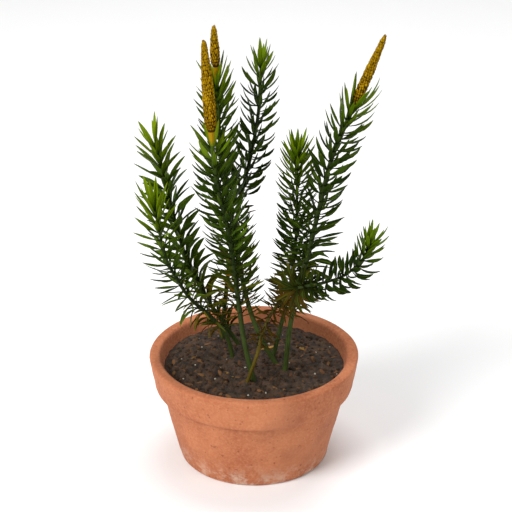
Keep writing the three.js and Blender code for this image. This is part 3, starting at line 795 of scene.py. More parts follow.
def blade(name, outline, section):
    """A leaf or scale that is 1 long and 1 wide: a section swept along an outline of widths."""
    sides = len(section)
    vertices = [(x * width, y * width, share) for share, width in outline for x, y in section]
    tip = len(vertices)
    vertices.append((0, 0, 1))
    faces = []
    for start in range(0, tip - sides, sides):
        for k in range(sides):
            after = (k + 1) % sides
            faces.append((start + k, start + after, start + after + sides, start + k + sides))
    last = tip - sides
    faces += [(last + k, last + (k + 1) % sides, tip) for k in range(sides)]
    faces.append(tuple(reversed(range(sides))))
    made = mesh_object(name, vertices, (), faces)
    mesh = made.data
    mesh.shade_smooth()
    margins = [k for k, (x, _) in enumerate(section) if abs(x) == 0.5]
    for edge in mesh.edges:
        first, second = sorted(edge.vertices)
        if first % sides in margins and (second - first == sides or second == tip):
            edge.use_edge_sharp = True
    keel = min(y for _, y in section)
    set_values(mesh, "leaf_along", [vertex[2] for vertex in vertices])
    set_values(mesh, "leaf_across", [2 * x for _ in outline for x, _ in section] + [0])
    set_values(mesh, "leaf_under", [max(y / keel, 0) for _ in outline for _, y in section] + [0])
    return made


def group_inputs(bench, sockets):
    """Gives a Geometry Nodes tree its named inputs and output, and returns the inputs' wires."""
    interface = bench.tree.interface
    for name, kind in sockets.items():
        interface.new_socket(name=name, in_out="INPUT", socket_type=kind)
    interface.new_socket(name="Geometry", in_out="OUTPUT", socket_type="NodeSocketGeometry")
    group = bench.tree.nodes.new("NodeGroupInput")
    return {name: Wire(bench, group.outputs[name]) for name in sockets}


def grown(carrier, tree, values):
    """The carrier with the result of a Geometry Nodes tree as its plain mesh."""
    modifier = carrier.modifiers.new("grow", "NODES")
    modifier.node_group = tree
    for item in tree.interface.items_tree:
        if item.in_out == "INPUT" and item.name in values:
            modifier[item.identifier] = values[item.name]
    mesh = made_plain(carrier)
    # The first slot is empty where the carrier had no material of its own
    if mesh.materials[0] is None:
        mesh.materials.pop(index=0)
    return carrier


def stored(bench, geometry, name, value):
    """The geometry with a value of its own at each point, under that name."""
    settings = {"data_type": kind_of(value), "domain": "POINT"}
    values = {"Geometry": geometry, "Name": name, "Value": value}
    return bench.node("GeometryNodeStoreNamedAttribute", settings, values)


def kept(bench, name, kind="FLOAT"):
    """What a point holds under that name."""
    return bench.node("GeometryNodeInputNamedAttribute", {"data_type": kind}, {"Name": name})


def chance(bench, seed, low=0.0, high=1.0):
    """A number of each point's own between low and high."""
    values = {"Min": low, "Max": high, "Seed": seed}
    return bench.node("FunctionNodeRandomValue", {"data_type": "FLOAT"}, values)


def shape_of(bench, chosen):
    """The geometry of an object that is one of the inputs."""
    return bench.node("GeometryNodeObjectInfo", None, {"Object": chosen}, "Geometry")


def distance_to(bench, points, place):
    """How far a place is from the nearest of some points."""
    values = {"Target": points, "Source Position": place}
    return bench.node("GeometryNodeProximity", {"target_element": "POINTS"}, values, "Distance")


def copies_on(bench, points, pattern, **values):
    """Plain copies of the pattern on the points."""
    values = {"Points": points, "Instance": shape_of(bench, pattern), **values}
    copies = bench.node("GeometryNodeInstanceOnPoints", None, values)
    return bench.node("GeometryNodeRealizeInstances", None, {"Geometry": copies})


def covered(bench, geometry, finish):
    values = {"Geometry": geometry, "Material": finish}
    return bench.node("GeometryNodeSetMaterial", None, values)


def joined(bench, parts):
    """Several geometries as one."""
    whole = bench.tree.nodes.new("GeometryNodeJoinGeometry")
    for part in parts:
        bench.tree.links.new(part.socket, whole.inputs[0])
    return Wire(bench, whole.outputs[0])


def shoot_tree():
    """The tree that grows a stem along its route, with leaves or scales round it."""
    bench = Bench(bpy.data.node_groups.new("leafy_shoot", "GeometryNodeTree"))
    given = group_inputs(bench, SHOOT_INPUTS)
    whole = bench.node("GeometryNodeMeshToCurve", None, {"Mesh": given["Geometry"]})
    tip = bench.node("GeometryNodeCurveLength", None, {"Curve": whole})
    stem = stem_along(bench, given, whole, tip)
    points, leaf = leaf_points(bench, given, whole, tip)
    points = without_lost(bench, given, points, leaf)
    both = joined(bench, [stem, bent_leaves(bench, given, points, leaf)])
    settings = {"pattern_mode": "WILDCARD"}
    values = {"Geometry": both, "Name": "grow *"}
    clean = bench.node("GeometryNodeRemoveAttribute", settings, values)
    bench.node("NodeGroupOutput", None, {0: clean})
    return bench.tree


def stem_along(bench, given, whole, tip):
    """The ribbed stem, as thick as the route's vertices say."""
    ends = {"Curve": whole, "Start_001": given["Stem from"], "End_001": given["Stem to"]}
    line = bench.node("GeometryNodeTrimCurve", {"mode": "LENGTH"}, ends)
    along = bench.node("GeometryNodeSplineParameter", None, None, "Length") + given["Stem from"]
    below_green = bench.smooth(given["Stem to"] - along, 0.0, GREENING_LENGTH * MM)
    finish = {
        "youth": 1 - bench.smooth(tip - along, 0.0, given["Young length"]),
        "dryness": given["Stem dryness"] * below_green,
        "tone": 0.5,
        "leaf_along": along / tip,
    }
    for name, value in finish.items():
        line = stored(bench, line, name, value)
    circle = {"Resolution": STEM_SIDES, "Radius": 1.0}
    ring = bench.node("GeometryNodeCurvePrimitiveCircle", None, circle)
    place = bench.node("GeometryNodeInputPosition")
    x, y, _ = bench.axes(place)
    angle = bench.math("ARCTAN2", y, x)
    relief = 1 + given["Rib depth"] * bench.math("COSINE", angle * given["Ribs"])
    ribbed = {"Geometry": ring, "Position": place * relief}
    tube = {
        "Curve": line,
        "Profile Curve": bench.node("GeometryNodeSetPosition", None, ribbed),
        "Scale": kept(bench, "thickness"),
        "Fill Caps": True,
    }
    tube = bench.node("GeometryNodeCurveToMesh", None, tube)
    tube = bench.node("GeometryNodeSetShadeSmooth", None, {"Geometry": tube})
    return covered(bench, tube, given["Stem material"])


def drawn(bench, given, name, reach=(0.0, 1.0)):
    """A number of each leaf's own within that reach, by the draw of that name."""
    return chance(bench, given["Seed"] + LEAF_DRAWS.index(name), *reach)


def varied(bench, given, name, reach):
    """A factor about 1 of each leaf's own."""
    return 1 + drawn(bench, given, name, reach) * given["Irregularity"]


def leaf_roots(bench, given, whole, tip):
    """How far along the stem each leaf grows, the stem's radius there, and the leaf's two directions."""
    index = bench.node("GeometryNodeInputIndex")
    scatter = drawn(bench, given, "scatter", (-1.0, 1.0)) * given["Scatter"]
    along = given["Leaves from"] + (index + 0.5) * given["Leaf distance"] + scatter
    crowding = bench.math("EXPONENT", (along - tip) / (CROWDED_LENGTH * MM)) * given["Crowding"]
    along = along + (tip - along) * crowding
    settings = {"mode": "LENGTH", "data_type": "FLOAT"}
    values = {"Curves": whole, "Value": kept(bench, "thickness"), "Length": along}
    thickness = bench.node("GeometryNodeSampleCurve", settings, values, "Value")
    heading = thickness.other("Tangent")
    across = bench.vector_math("CROSS_PRODUCT", (0.0, 1.0, 0.0), heading)
    across = bench.vector_math("NORMALIZE", across)
    over = bench.vector_math("CROSS_PRODUCT", heading, across)
    turn = drawn(bench, given, "turn", TURN_VARIES) * given["Irregularity"]
    turn = index * given["Leaf turn"] + turn
    outward = across * bench.math("COSINE", turn) + over * bench.math("SINE", turn)
    return along, thickness, heading, outward


def leaf_heights(bench, given, tip, along):
    """How far along the stem each leaf is, by shares that run from 0 to 1."""
    to_tip = tip - along
    from_bare = along - given["Bare length"]
    depth = to_tip / (tip - given["Bare length"])
    return {
        "young": 1 - bench.smooth(to_tip, 0.0, given["Young length"]),
        "bud": 1 - bench.smooth(to_tip, 0.0, BUD_LENGTH * MM),
        "below tuft": bench.smooth(to_tip, 0.0, TUFT_LENGTH * MM),
        "low": bench.smooth(depth, LOW_LEAVES_FROM, LOW_LEAVES_TO),
        "base": bench.smooth(depth, BASE_LEAVES_FROM, 1.0),
        "foot": 1 - bench.smooth(from_bare, 0.0, FOOT_LENGTH * MM),
        "worn": along < given["Sparse to"],
    }


def leaf_dryness(bench, given, along, rise, worn):
    """How dry each leaf is, and how faded if it isn't."""
    dry_from = given["Dry to"] - DRY_FADE[0] * MM
    dry_here = 1 - bench.smooth(along, dry_from, given["Dry to"] + DRY_FADE[1] * MM)
    dry_share = dry_here * given["Dry share"] * (1 - rise * UNDERSIDE_DRYNESS)
    is_dry = drawn(bench, given, "is dry") < bench.largest(dry_share, worn)
    faded_here = 1 - bench.smooth(along, dry_from, given["Dry to"] + FADED_LENGTH * MM)
    faded = faded_here * drawn(bench, given, "fade", FADED_SHARE)
    return is_dry * drawn(bench, given, "how dry", DRY_STRENGTH), faded


def leaf_size(bench, given, at, thickness, rise, dryness):
    """The length and width of each leaf."""
    base = at["base"] * given["Irregularity"]
    length = bench.between(at["below tuft"], given["Tuft leaf length"], given["Leaf length"])
    length = length * varied(bench, given, "length", LENGTH_VARIES)
    length = length * (1 - rise * UNDERSIDE_STRETCH) * (1 - base * (1 - BASE_LENGTH))
    length = bench.between(at["worn"], length, length * WORN_LENGTH)
    length = length * (1 - dryness * DRY_SHORTENING) * (1 - at["bud"] * given["Bud shortening"])
    narrowing = 1 - given["Width follows stem"] * (1 - thickness / given["Full thickness"])
    width = bench.between(at["below tuft"], given["Tuft leaf width"], given["Leaf width"])
    width = width * varied(bench, given, "width", WIDTH_VARIES) * narrowing
    return length, width * (1 - base * (1 - BASE_WIDTH)) * (1 - dryness * DRY_NARROWING)


def leaf_stance(bench, given, at, rise, dryness):
    """How far each leaf leans from the stem, bends towards it and twists."""
    lean = bench.between(at["below tuft"], given["Tuft spread"], given["Middle spread"])
    lean = bench.between(at["low"], lean, given["Low spread"])
    lean = lean * varied(bench, given, "lean", LEAN_VARIES) * (1 - at["bud"] * given["Bud closing"])
    dry_lean = dryness * drawn(bench, given, "dry lean", DRY_LEAN)
    bend = given["Curl"] * (at["below tuft"] * (1 - TUFT_CURL) + TUFT_CURL)
    bend = bench.between(at["low"], bend, given["Low curl"])
    bend = bend * varied(bench, given, "bend", BEND_VARIES) + LEAST_BEND
    bend = bend - bench.math("MINIMUM", rise, 0.0) * UNDERSIDE_CURL * (1 - at["low"])
    dry_bend = dryness * drawn(bench, given, "dry bend", DRY_BEND) * (1 + at["worn"] * WORN_BEND)
    twist = given["Twist"] * drawn(bench, given, "twist", (-1.0, 1.0))
    twist = twist * (TUFT_TWIST + at["below tuft"] * (1 - TUFT_TWIST))
    return lean + dry_lean, bend + dry_bend, twist


def leaf_points(bench, given, whole, tip):
    """A point for each leaf or scale, which holds its place, its shape and its finish."""
    along, thickness, heading, outward = leaf_roots(bench, given, whole, tip)
    _, back, up = bench.axes(outward)
    rise = up * given["Irregularity"]
    at = leaf_heights(bench, given, tip, along)
    dryness, faded = leaf_dryness(bench, given, along, rise, at["worn"])
    length, width = leaf_size(bench, given, at, thickness, rise, dryness)
    lean, bend, twist = leaf_stance(bench, given, at, rise, dryness)
    shape = {
        "root": thickness.other("Position") + outward * (thickness - ROOT_DEPTH * MM),
        "heading": heading,
        "outward": outward,
        "length": length,
        "width": width,
        "lean": lean,
        "bend": bend,
        "twist": twist,
        "along": along,
        "is open": (back < FRONT_SIDE) * (tip - along < given["Open length"]),
    }
    tone = drawn(bench, given, "tone", (given["Darkest tone"], given["Lightest tone"]))
    finish = {
        "youth": at["young"],
        "dryness": bench.largest(dryness, faded),
        "tone": tone * (1 - at["base"] * BASE_SHADE),
        "end": bench.largest(at["foot"], at["bud"]),
        "worn": at["worn"],
    }
    count = (given["Leaves to"] - given["Leaves from"]) / given["Leaf distance"]
    points = bench.node("GeometryNodePoints", None, {"Count": bench.largest(count, 0.0)})
    leaf = {}
    for name, value in shape.items():
        points = stored(bench, points, f"grow {name}", value)
        leaf[name] = kept(bench, f"grow {name}", kind_of(value))
    for name, value in finish.items():
        points = stored(bench, points, name, value)
    return points, leaf


def spine(bench, share, leaf):
    """A point of a leaf's curved midline, and the midline's angle to the stem there."""
    turning = leaf["bend"] * 2.0
    start = leaf["lean"] + leaf["bend"]
    angle = start - turning * share
    forward = (bench.math("SINE", start) - bench.math("SINE", angle)) / turning
    outward = (bench.math("COSINE", angle) - bench.math("COSINE", start)) / turning
    reach = leaf["heading"] * forward + leaf["outward"] * outward
    return leaf["root"] + reach * leaf["length"], angle


def without_lost(bench, given, points, leaf):
    """The points without those of leaves that are shed, hide a cone or would cross something."""
    others = shape_of(bench, given["Neighbours"])
    shed = drawn(bench, given, "is shed") < given["Sparse share"]
    is_lost = bench.largest(shed * (leaf["along"] < given["Sparse to"]), leaf["is open"])
    for share in TESTED_SHARES:
        place, _ = spine(bench, share, leaf)
        is_near = distance_to(bench, others, place) < given["Clearance"]
        is_low = bench.axes(place)[2] < given["Lowest tip"]
        is_lost = bench.largest(is_lost, is_near, is_low)
    lost = {"Geometry": points, "Selection": is_lost > 0.5}
    return bench.node("GeometryNodeDeleteGeometry", {"domain": "POINT"}, lost)


def bent_leaves(bench, given, points, leaf):
    """A copy of the unit leaf at each point, sized, leaned, bent and twisted as the point says."""
    leaves = copies_on(bench, points, given["Leaf"])
    across, over, share = bench.axes(bench.node("GeometryNodeInputPosition"))
    middle, angle = spine(bench, share, leaf)
    side = bench.vector_math("CROSS_PRODUCT", leaf["heading"], leaf["outward"])
    upper = leaf["heading"] * bench.math("SINE", angle)
    upper = upper - leaf["outward"] * bench.math("COSINE", angle)
    twist = leaf["twist"] * bench.smooth(share, 0.0, TWISTED_SHARE)
    cosine, sine = bench.math("COSINE", twist), bench.math("SINE", twist)
    offset = (side * cosine + upper * sine) * across + (upper * cosine - side * sine) * over
    place = middle + offset * leaf["width"]
    leaves = bench.node("GeometryNodeSetPosition", None, {"Geometry": leaves, "Position": place})
    return covered(bench, leaves, given["Leaf material"])


def guard_points(name, lines, cones):
    """Points along the other stems and inside the other cones, which a shoot keeps clear of."""
    points = [tuple(point) for other, line in lines.items() if other != name for point in line]
    for other, (_, start, end) in cones.items():
        if other == name:
            continue
        inset = max(SHOOTS[other]["cone"]["radius"] - GUARD_DEPTH, 0) * MM
        heading = (end - start).normalized()
        side = heading.orthogonal().normalized()
        third = heading.cross(side)
        for along in np.arange(0, (end - start).length, ROUTE_STEP * MM):
            for angle in np.linspace(0, 2 * math.pi, GUARDS_ROUND, endpoint=False):
                spoke = side * math.cos(angle) + third * math.sin(angle)
                points.append(tuple(start + heading * along + spoke * inset))
    return points


def stem_radii(line, radii):
    """The stem's radius at each point of its line, which changes evenly."""
    share = np.linspace(0, 1, len(line))
    return (radii[0] + (radii[1] - radii[0]) * share) * MM


def cone_radii(count, radius):
    """The radius of a cone's core at each of its points, with a narrow foot and a tapered head."""
    share = np.linspace(0, 1, count)
    step = np.clip(share / CONE_FOOT_SHARE, 0, 1)
    foot = CONE_FOOT + (1 - CONE_FOOT) * (step * step * (3 - 2 * step))
    taper = np.clip((share - CONE_TAPER_FROM) / (1 - CONE_TAPER_FROM), 0, 1)
    outer = radius * foot * (1 - CONE_TAPER * taper**2)
    return np.maximum(outer - CORE_DEPTH, outer * CORE_SHARE) * MM


def cone_ends(shoot):
    """Where the stalk above a shoot starts, and where the cone on it starts and ends."""
    cone = shoot["cone"]
    stem_tip = Vector(shoot["route"][-1]) * MM
    tip = Vector(cone["tip"]) * MM
    heading = (tip - stem_tip).normalized()
    return stem_tip, stem_tip + heading * cone["stalk"] * MM, tip


def shoot_values(shoot, length):
    """The tree's inputs for one leafy shoot whose route has that length in metres."""
    distance = shoot["rows"] * MM / LEAVES_ROUND
    tuft_spread, middle_spread, low_spread = (math.radians(angle) for angle in shoot["spread"])
    curl, low_curl = (math.radians(angle) for angle in shoot["curl"])
    return {
        **NO_NUMBERS,
        "Stem to": length,
        "Leaves from": shoot["bare"] * MM,
        "Leaves to": length - shoot.get("tip_margin", TIP_MARGIN) * MM,
        "Bare length": shoot["bare"] * MM,
        "Leaf distance": distance,
        "Leaf turn": 2 * math.pi / LEAVES_ROUND,
        "Crowding": CROWDING,
        "Scatter": distance / 2,
        "Tuft leaf length": shoot["tuft"][0] * MM,
        "Tuft leaf width": shoot["tuft"][1] * MM,
        "Leaf length": shoot["leaf"][0] * MM,
        "Leaf width": shoot["leaf"][1] * MM,
        "Tuft spread": tuft_spread,
        "Middle spread": middle_spread,
        "Low spread": low_spread,
        "Curl": curl,
        "Low curl": low_curl,
        "Twist": math.radians(LEAF_TWIST),
        "Irregularity": 1.0,
        "Bud closing": BUD_CLOSING,
        "Open length": shoot.get("open", 0) * MM,
        "Full thickness": 1.0,
        "Sparse to": shoot.get("worn_to", 0) * MM,
        "Sparse share": SHED_SHARE,
        "Young length": shoot["young"] * MM,
        "Darkest tone": shoot["tones"][0],
        "Lightest tone": shoot["tones"][1],
        "Dry to": shoot["dry"] * MM,
        "Dry share": DRY_SHARE,
        "Lowest tip": LEAF_FLOOR * MM,
        "Clearance": CLEARANCE * MM,
        "Ribs": float(STEM_RIBS),
        "Rib depth": STEM_RIB_DEPTH,
        "Seed": shoot["seed"] * SEEDS_PER_SHOOT,
    }


def brown_values(shoot):
    """The inputs that differ in the brown base of the creeping shoot."""
    length, width = shoot["rosette_leaf"]
    return {
        "Stem to": shoot["brown_to"] * MM,
        "Leaves to": shoot["brown_to"] * MM,
        "Sparse to": shoot["rosette_from"] * MM,
        "Sparse share": ROSETTE_SHED_SHARE,
        "Leaf length": length * MM,
        "Leaf width": width * MM,
        "Leaf distance": ROSETTE_ROWS * MM / LEAVES_ROUND,
        "Dry share": ROSETTE_DRY_SHARE,
        "Stem dryness": 1.0,
    }


def cone_values(radius, length, seed):
    """The tree's inputs for one cone: its scales are short, broad leaves that hug the core."""
    scales_round = SCALES_PER_RADIUS * radius
    return {
        **NO_NUMBERS,
        "Stem to": length,
        "Leaves to": length,
        "Leaf distance": SCALE_ROWS * MM / scales_round,
        "Leaf turn": 2 * math.pi / scales_round,
        "Scatter": SCALE_SCATTER * MM,
        **dict.fromkeys(("Tuft leaf length", "Leaf length"), SCALE_LENGTH * MM),
        **dict.fromkeys(("Tuft leaf width", "Leaf width"), SCALE_WIDTH * MM),
        **dict.fromkeys(("Tuft spread", "Middle spread", "Low spread"), math.radians(SCALE_LEAN)),
        **dict.fromkeys(("Curl", "Low curl"), math.radians(SCALE_CURL)),
        "Twist": math.radians(SCALE_TWIST),
        "Irregularity": SCALE_IRREGULARITY,
        "Bud shortening": TIP_SHORTENING,
        "Bud closing": TIP_CLOSING,
        "Width follows stem": SCALE_NARROWING,
        "Full thickness": (radius - CORE_DEPTH) * MM,
        "Young length": FAR_ABOVE,
        "Lightest tone": 1.0,
        "Dry to": FAR_BELOW,
        "Seed": seed,
    }


def attach(piece, node):
    """Rides a finished piece on the body in place of its solid."""
    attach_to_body(piece, "root")
    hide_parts(node)


def grow_plants(finishes):
    """The shoots, stalks and cones."""
    tree = shoot_tree()
    leaf = blade("leaf_pattern", LEAF_OUTLINE, LEAF_SECTION)
    scale = blade("scale_pattern", SCALE_OUTLINE, SCALE_SECTION)
    lines = {name: curve_through(shoot["route"]) for name, shoot in SHOOTS.items()}
    cones = {name: cone_ends(shoot) for name, shoot in SHOOTS.items() if "cone" in shoot}
    for name, line in lines.items():
        guards = mesh_object("guards", guard_points(name, lines, cones))
        leafy = {
            "Leaf": leaf,
            "Neighbours": guards,
            "Leaf material": finishes["leaf"],
            "Stem material": finishes["stem"],
        }
        grow_shoot(name, line, tree, leafy)
        if name in cones:
            grow_cone(name, cones[name], tree, {**leafy, "Leaf": scale}, finishes)
        discard(guards)
    discard(leaf, scale)


def grow_shoot(name, line, tree, leafy):
    """A shoot with its leaves. The creeping one has its brown base as a piece of its own."""
    shoot = SHOOTS[name]
    radii = stem_radii(line, shoot["radii"])
    values = {**leafy, **shoot_values(shoot, length_of(line))}
    if "brown_to" in shoot:
        base = line_object(f"{name}_base_shoot", line, radii)
        brown = {**values, **brown_values(shoot)}
        attach(grown(base, tree, brown), f"shoot_{name}_base")
        values.update(dict.fromkeys(("Stem from", "Leaves from"), shoot["brown_to"] * MM))
        values["Seed"] += SEEDS_PER_SHOOT // 2
    carrier = line_object(f"{name}_shoot", line, radii)
    attach(grown(carrier, tree, values), f"shoot_{name}")


def grow_cone(name, ends, tree, leafy, finishes):
    """A cone with its scales, and the stalk below it."""
    stem_tip, cone_base, cone_tip = ends
    cone = SHOOTS[name]["cone"]
    heading = (cone_tip - cone_base).normalized()
    line = straight_line(cone_base, cone_tip - heading * TIP_SCALES * MM)
    carrier = line_object(f"{name}_cone", line, cone_radii(len(line), cone["radius"]))
    values = {
        **leafy,
        **cone_values(cone["radius"], length_of(line), SHOOTS[name]["seed"]),
        "Leaf material": finishes["cone"],
        "Stem material": finishes["core"],
    }
    attach(grown(carrier, tree, values), f"cone_{name}")
    line = straight_line(stem_tip - heading * STALK_OVERLAP * MM, cone_base)
    carrier = line_object(f"{name}_stalk", line, stem_radii(line, cone["radii"]))
    no_leaves = {
        "Stem to": length_of(line),
        "Leaves from": FAR_ABOVE,
        "Leaves to": 0.0,
        "Ribs": float(STEM_RIBS),
        "Rib depth": STEM_RIB_DEPTH,
        "Stem material": finishes["stalk"],
    }
    attach(grown(carrier, tree, {**values, **no_leaves}), f"stalk_{name}")


def rounded(corners):
    """The points of an outline whose corners, each with its radius, are rounded."""
    points = [Vector(corners[0][:2])]
    for before, corner, after in zip(corners, corners[1:], corners[2:]):
        here, radius = Vector(corner[:2]), corner[2]
        start = here + (Vector(before[:2]) - here).normalized() * radius
        end = here + (Vector(after[:2]) - here).normalized() * radius
        for share in np.linspace(0, 1, CORNER_STEPS):
            points.append(start.lerp(here, share).lerp(here.lerp(end, share), share))
    points.append(Vector(corners[-1][:2]))
    return points


def divided(points, step):
    """The same outline with no stretch longer than step."""
    result = [points[0]]
    for start, end in zip(points, points[1:]):
        count = max(1, math.ceil((end - start).length / step))
        result += [start.lerp(end, k / count) for k in range(1, count + 1)]
    return result


def turned(name, outline, segments, place):
    """A closed solid of revolution from an outline that starts and ends on the axis.

    place(radius, height, angle) gives each vertex, in millimetres.
    """
    angles = [2 * math.pi * k / segments for k in range(segments)]
    vertices = [place(0, outline[0][1], 0), place(0, outline[-1][1], 0)]
    for radius, height in outline[1:-1]:
        vertices += [place(radius, height, angle) for angle in angles]
    faces = []
    top = len(vertices) - segments
    for k in range(segments):
        after = (k + 1) % segments
        faces.append((0, 2 + after, 2 + k))
        for low in range(2, top, segments):
            high = low + segments
            faces.append((low + k, low + after, high + after, high + k))
        faces.append((top + k, top + after, 1))
    made = mesh_object(name, [tuple(v * MM for v in vertex) for vertex in vertices], (), faces)
    made.data.shade_smooth()
    return made


def clay_place(radius, height, angle):
    """A point of the pot's wall, a little off the true circle as a moulded pot is."""
    x, y = radius * math.cos(angle), radius * math.sin(angle)
    if radius > POT_FOOT_RADIUS and height > POT_FOOT_HEIGHT:
        here = Vector((x, y, height))
        sway = noise.noise(Vector((x, y, 0)) * RIDGE_SWAY_RATE) * RIDGE_SWAY
        wobble = noise.noise(here * WOBBLE_RATE) * WOBBLE
        ridges = math.sin(height * RIDGE_RATE + sway) * RIDGE
        dents = noise.noise(here * DENT_RATE) * DENT
        share = 1 + (wobble + ridges + dents) / radius
        return x * share, y * share, height
    return x, y, height


def drain_drill(angle):
    """What cuts one drain hole, at that angle round the pot's floor."""
    shape = bmesh.new()
    radius, depth = DRAIN_RADIUS * MM, DRAIN_DEPTH * MM
    bmesh.ops.create_cone(
        shape, cap_ends=True, segments=DRAIN_SIDES, radius1=radius, radius2=radius, depth=depth
    )
    middle = Vector((math.cos(angle), math.sin(angle), 0)) * DRAIN_FROM_CENTRE * MM
    bmesh.ops.translate(shape, verts=shape.verts, vec=middle)
    return shape_object("drill", shape)


def make_pot(finishes):
    outline = divided(rounded(POT_OUTLINE), POT_STEP)
    pot = turned("clay_pot", outline, POT_SEGMENTS, clay_place)
    drills = [drain_drill(2 * math.pi * k / DRAIN_COUNT) for k in range(DRAIN_COUNT)]
    for drill in drills:
        cut = pot.modifiers.new("drain", "BOOLEAN")
        cut.operation, cut.solver, cut.object = "DIFFERENCE", "EXACT", drill
    mesh = made_plain(pot)
    discard(*drills)
    mesh.set_sharp_from_angle(angle=math.radians(SHARP_EDGE))
    mesh.materials.clear()
    mesh.materials.append(finishes["clay"])
    attach(pot, "pot")


def soil_foot(line):
    """Where a stem comes out of the soil."""
    place = min(line, key=lambda point: abs(point[2] - SOIL_EDGE * MM))
    return Vector((place[0], place[1])) / MM


def soil_place(feet):
    """Gives each point of the soil its place: lumpy on top, and heaped a little round the stems."""

    def place(radius, height, angle):
        x, y = radius * math.cos(angle), radius * math.sin(angle)
        if height < SOIL_EDGE:
            return x, y, height
        share = radius / SOIL_RADIUS
        waves = sum(math.sin(a * x + b * y) for a, b in SOIL_WAVES)
        level = SOIL_EDGE + SOIL_MOUND * (1 - share**2)
        level += SOIL_WAVE_HEIGHT * waves * (1 - share**SOIL_WAVE_FADE)
        here = Vector((x, y, 0))
        level += sum(noise.noise(here * rate) * lump_height for rate, lump_height in SOIL_LUMPS)
        for foot in feet:
            level += STEM_HEAP * math.exp(-(((foot - here.xy).length / STEM_HEAP_RADIUS) ** 2))
        return x, y, level

    return place


def lump(name, seed, shape):
    """A small uneven body of a few dozen faces."""
    ball = bmesh.new()
    bmesh.ops.create_uvsphere(ball, u_segments=LUMP_SIDES, v_segments=LUMP_RINGS, radius=0.5)
    for vertex in ball.verts:
        rough = noise.noise(vertex.co * LUMP_RATE + Vector((seed, 0, 0))) * LUMP_ROUGHNESS
        vertex.co = Vector(c * size for c, size in zip(vertex.co * (1 + rough), shape))
    return shape_object(name, ball)


def lying_leaf():
    """A shed leaf along X, with its keel down."""
    pattern = blade("shed_leaf", SHED_OUTLINE, SHED_SECTION)
    for vertex in pattern.data.vertices:
        across, up, along = vertex.co
        from_middle = along - 0.5
        vertex.co = (from_middle, -across, up + SHED_BEND * from_middle**2)
    pattern.data.flip_normals()
    return pattern


def litter_tree():
    """The tree that scatters clods, chips, grit and shed leaves on the soil."""
    bench = Bench(bpy.data.node_groups.new("soil_litter", "GeometryNodeTree"))
    sockets = {"Geometry": "NodeSocketGeometry", "Feet": "NodeSocketObject"}
    for kind in LITTER:
        sockets[kind] = "NodeSocketObject"
        sockets[f"{kind} size"] = "NodeSocketVector"
        for length in ("spacing", "clearance", "reach"):
            sockets[f"{kind} {length}"] = "NodeSocketFloat"
        sockets[f"{kind} material"] = "NodeSocketMaterial"
    given = group_inputs(bench, sockets)
    place = bench.node("GeometryNodeInputPosition")
    flat = bench.vector_math("MULTIPLY", place, (1.0, 1.0, 0.0))
    radius = bench.node("ShaderNodeVectorMath", {"operation": "LENGTH"}, {0: flat}, "Value")
    facing = bench.axes(bench.node("GeometryNodeInputNormal", None, None, "Normal"))[2]
    stem_distance = distance_to(bench, shape_of(bench, given["Feet"]), place)
    parts = [given["Geometry"]]
    for seed, kind in enumerate(LITTER):
        spacing = given[f"{kind} spacing"]
        is_open = (facing > LITTER_UPRIGHT) * (radius < given[f"{kind} reach"])
        is_open = is_open * (stem_distance > given[f"{kind} clearance"])
        spread = {
            "Mesh": given["Geometry"],
            "Selection": is_open > 0.5,
            "Distance Min": spacing,
            "Density Max": LITTER_CROWDING / (spacing * spacing),
            "Seed": seed,
        }
        settings = {"distribute_method": "POISSON"}
        points = bench.node("GeometryNodeDistributePointsOnFaces", settings, spread)
        spin = {"Axis": (0.0, 0.0, 1.0), "Angle": chance(bench, seed, 0.0, 2 * math.pi)}
        spin = bench.node("FunctionNodeAxisAngleToRotation", None, spin)
        turn = {"Rotation": points.other("Rotation"), "Rotate By": spin}
        turn = bench.node("FunctionNodeRotateRotation", {"rotation_space": "LOCAL"}, turn)
        points = stored(bench, points, "tone", chance(bench, seed + LITTER_TONE_DRAW))
        size = given[f"{kind} size"] * chance(bench, seed + LITTER_SIZE_DRAW, *LITTER_SIZES)
        copies = copies_on(bench, points, given[kind], Rotation=turn, Scale=size)
        parts.append(covered(bench, copies, given[f"{kind} material"]))
    whole = {"Geometry": joined(bench, parts)}
    whole = bench.node("GeometryNodeRealizeInstances", None, whole)
    bench.node("NodeGroupOutput", None, {0: whole})
    return bench.tree


def make_soil(finishes):
    """The lumpy soil, with what lies on it."""
    feet = [soil_foot(curve_through(shoot["route"])) for shoot in SHOOTS.values()]
    top = [Vector((radius, SOIL_EDGE)) for radius in np.arange(SOIL_RADIUS, 0, -SOIL_STEP)]
    wall = divided([Vector((SOIL_BOTTOM_RADIUS, SOIL_BOTTOM)), top[0]], SOIL_WALL_STEP)
    outline = [Vector((0, SOIL_BOTTOM)), *wall[:-1], *top, Vector((0, SOIL_EDGE))]
    soil = turned("potting_soil", outline, SOIL_SEGMENTS, soil_place(feet))
    soil.data.materials.append(finishes["earth"])
    crossings = mesh_object("feet", [(*(foot * MM), SOIL_EDGE * MM) for foot in feet])
    patterns = {kind: lump(kind, seed, shape) for kind, (seed, shape) in LUMPS.items()}
    patterns["Needle"] = lying_leaf()
    values = {"Feet": crossings, **patterns}
    for kind, (size, spacing, clearance, reach, finish) in LITTER.items():
        values[f"{kind} size"] = [side * MM for side in size]
        values[f"{kind} spacing"] = spacing * MM
        values[f"{kind} clearance"] = clearance * MM
        values[f"{kind} reach"] = reach * MM
        values[f"{kind} material"] = finishes[finish]
    grown(soil, litter_tree(), values)
    discard(crossings, *patterns.values())
    attach(soil, "soil")


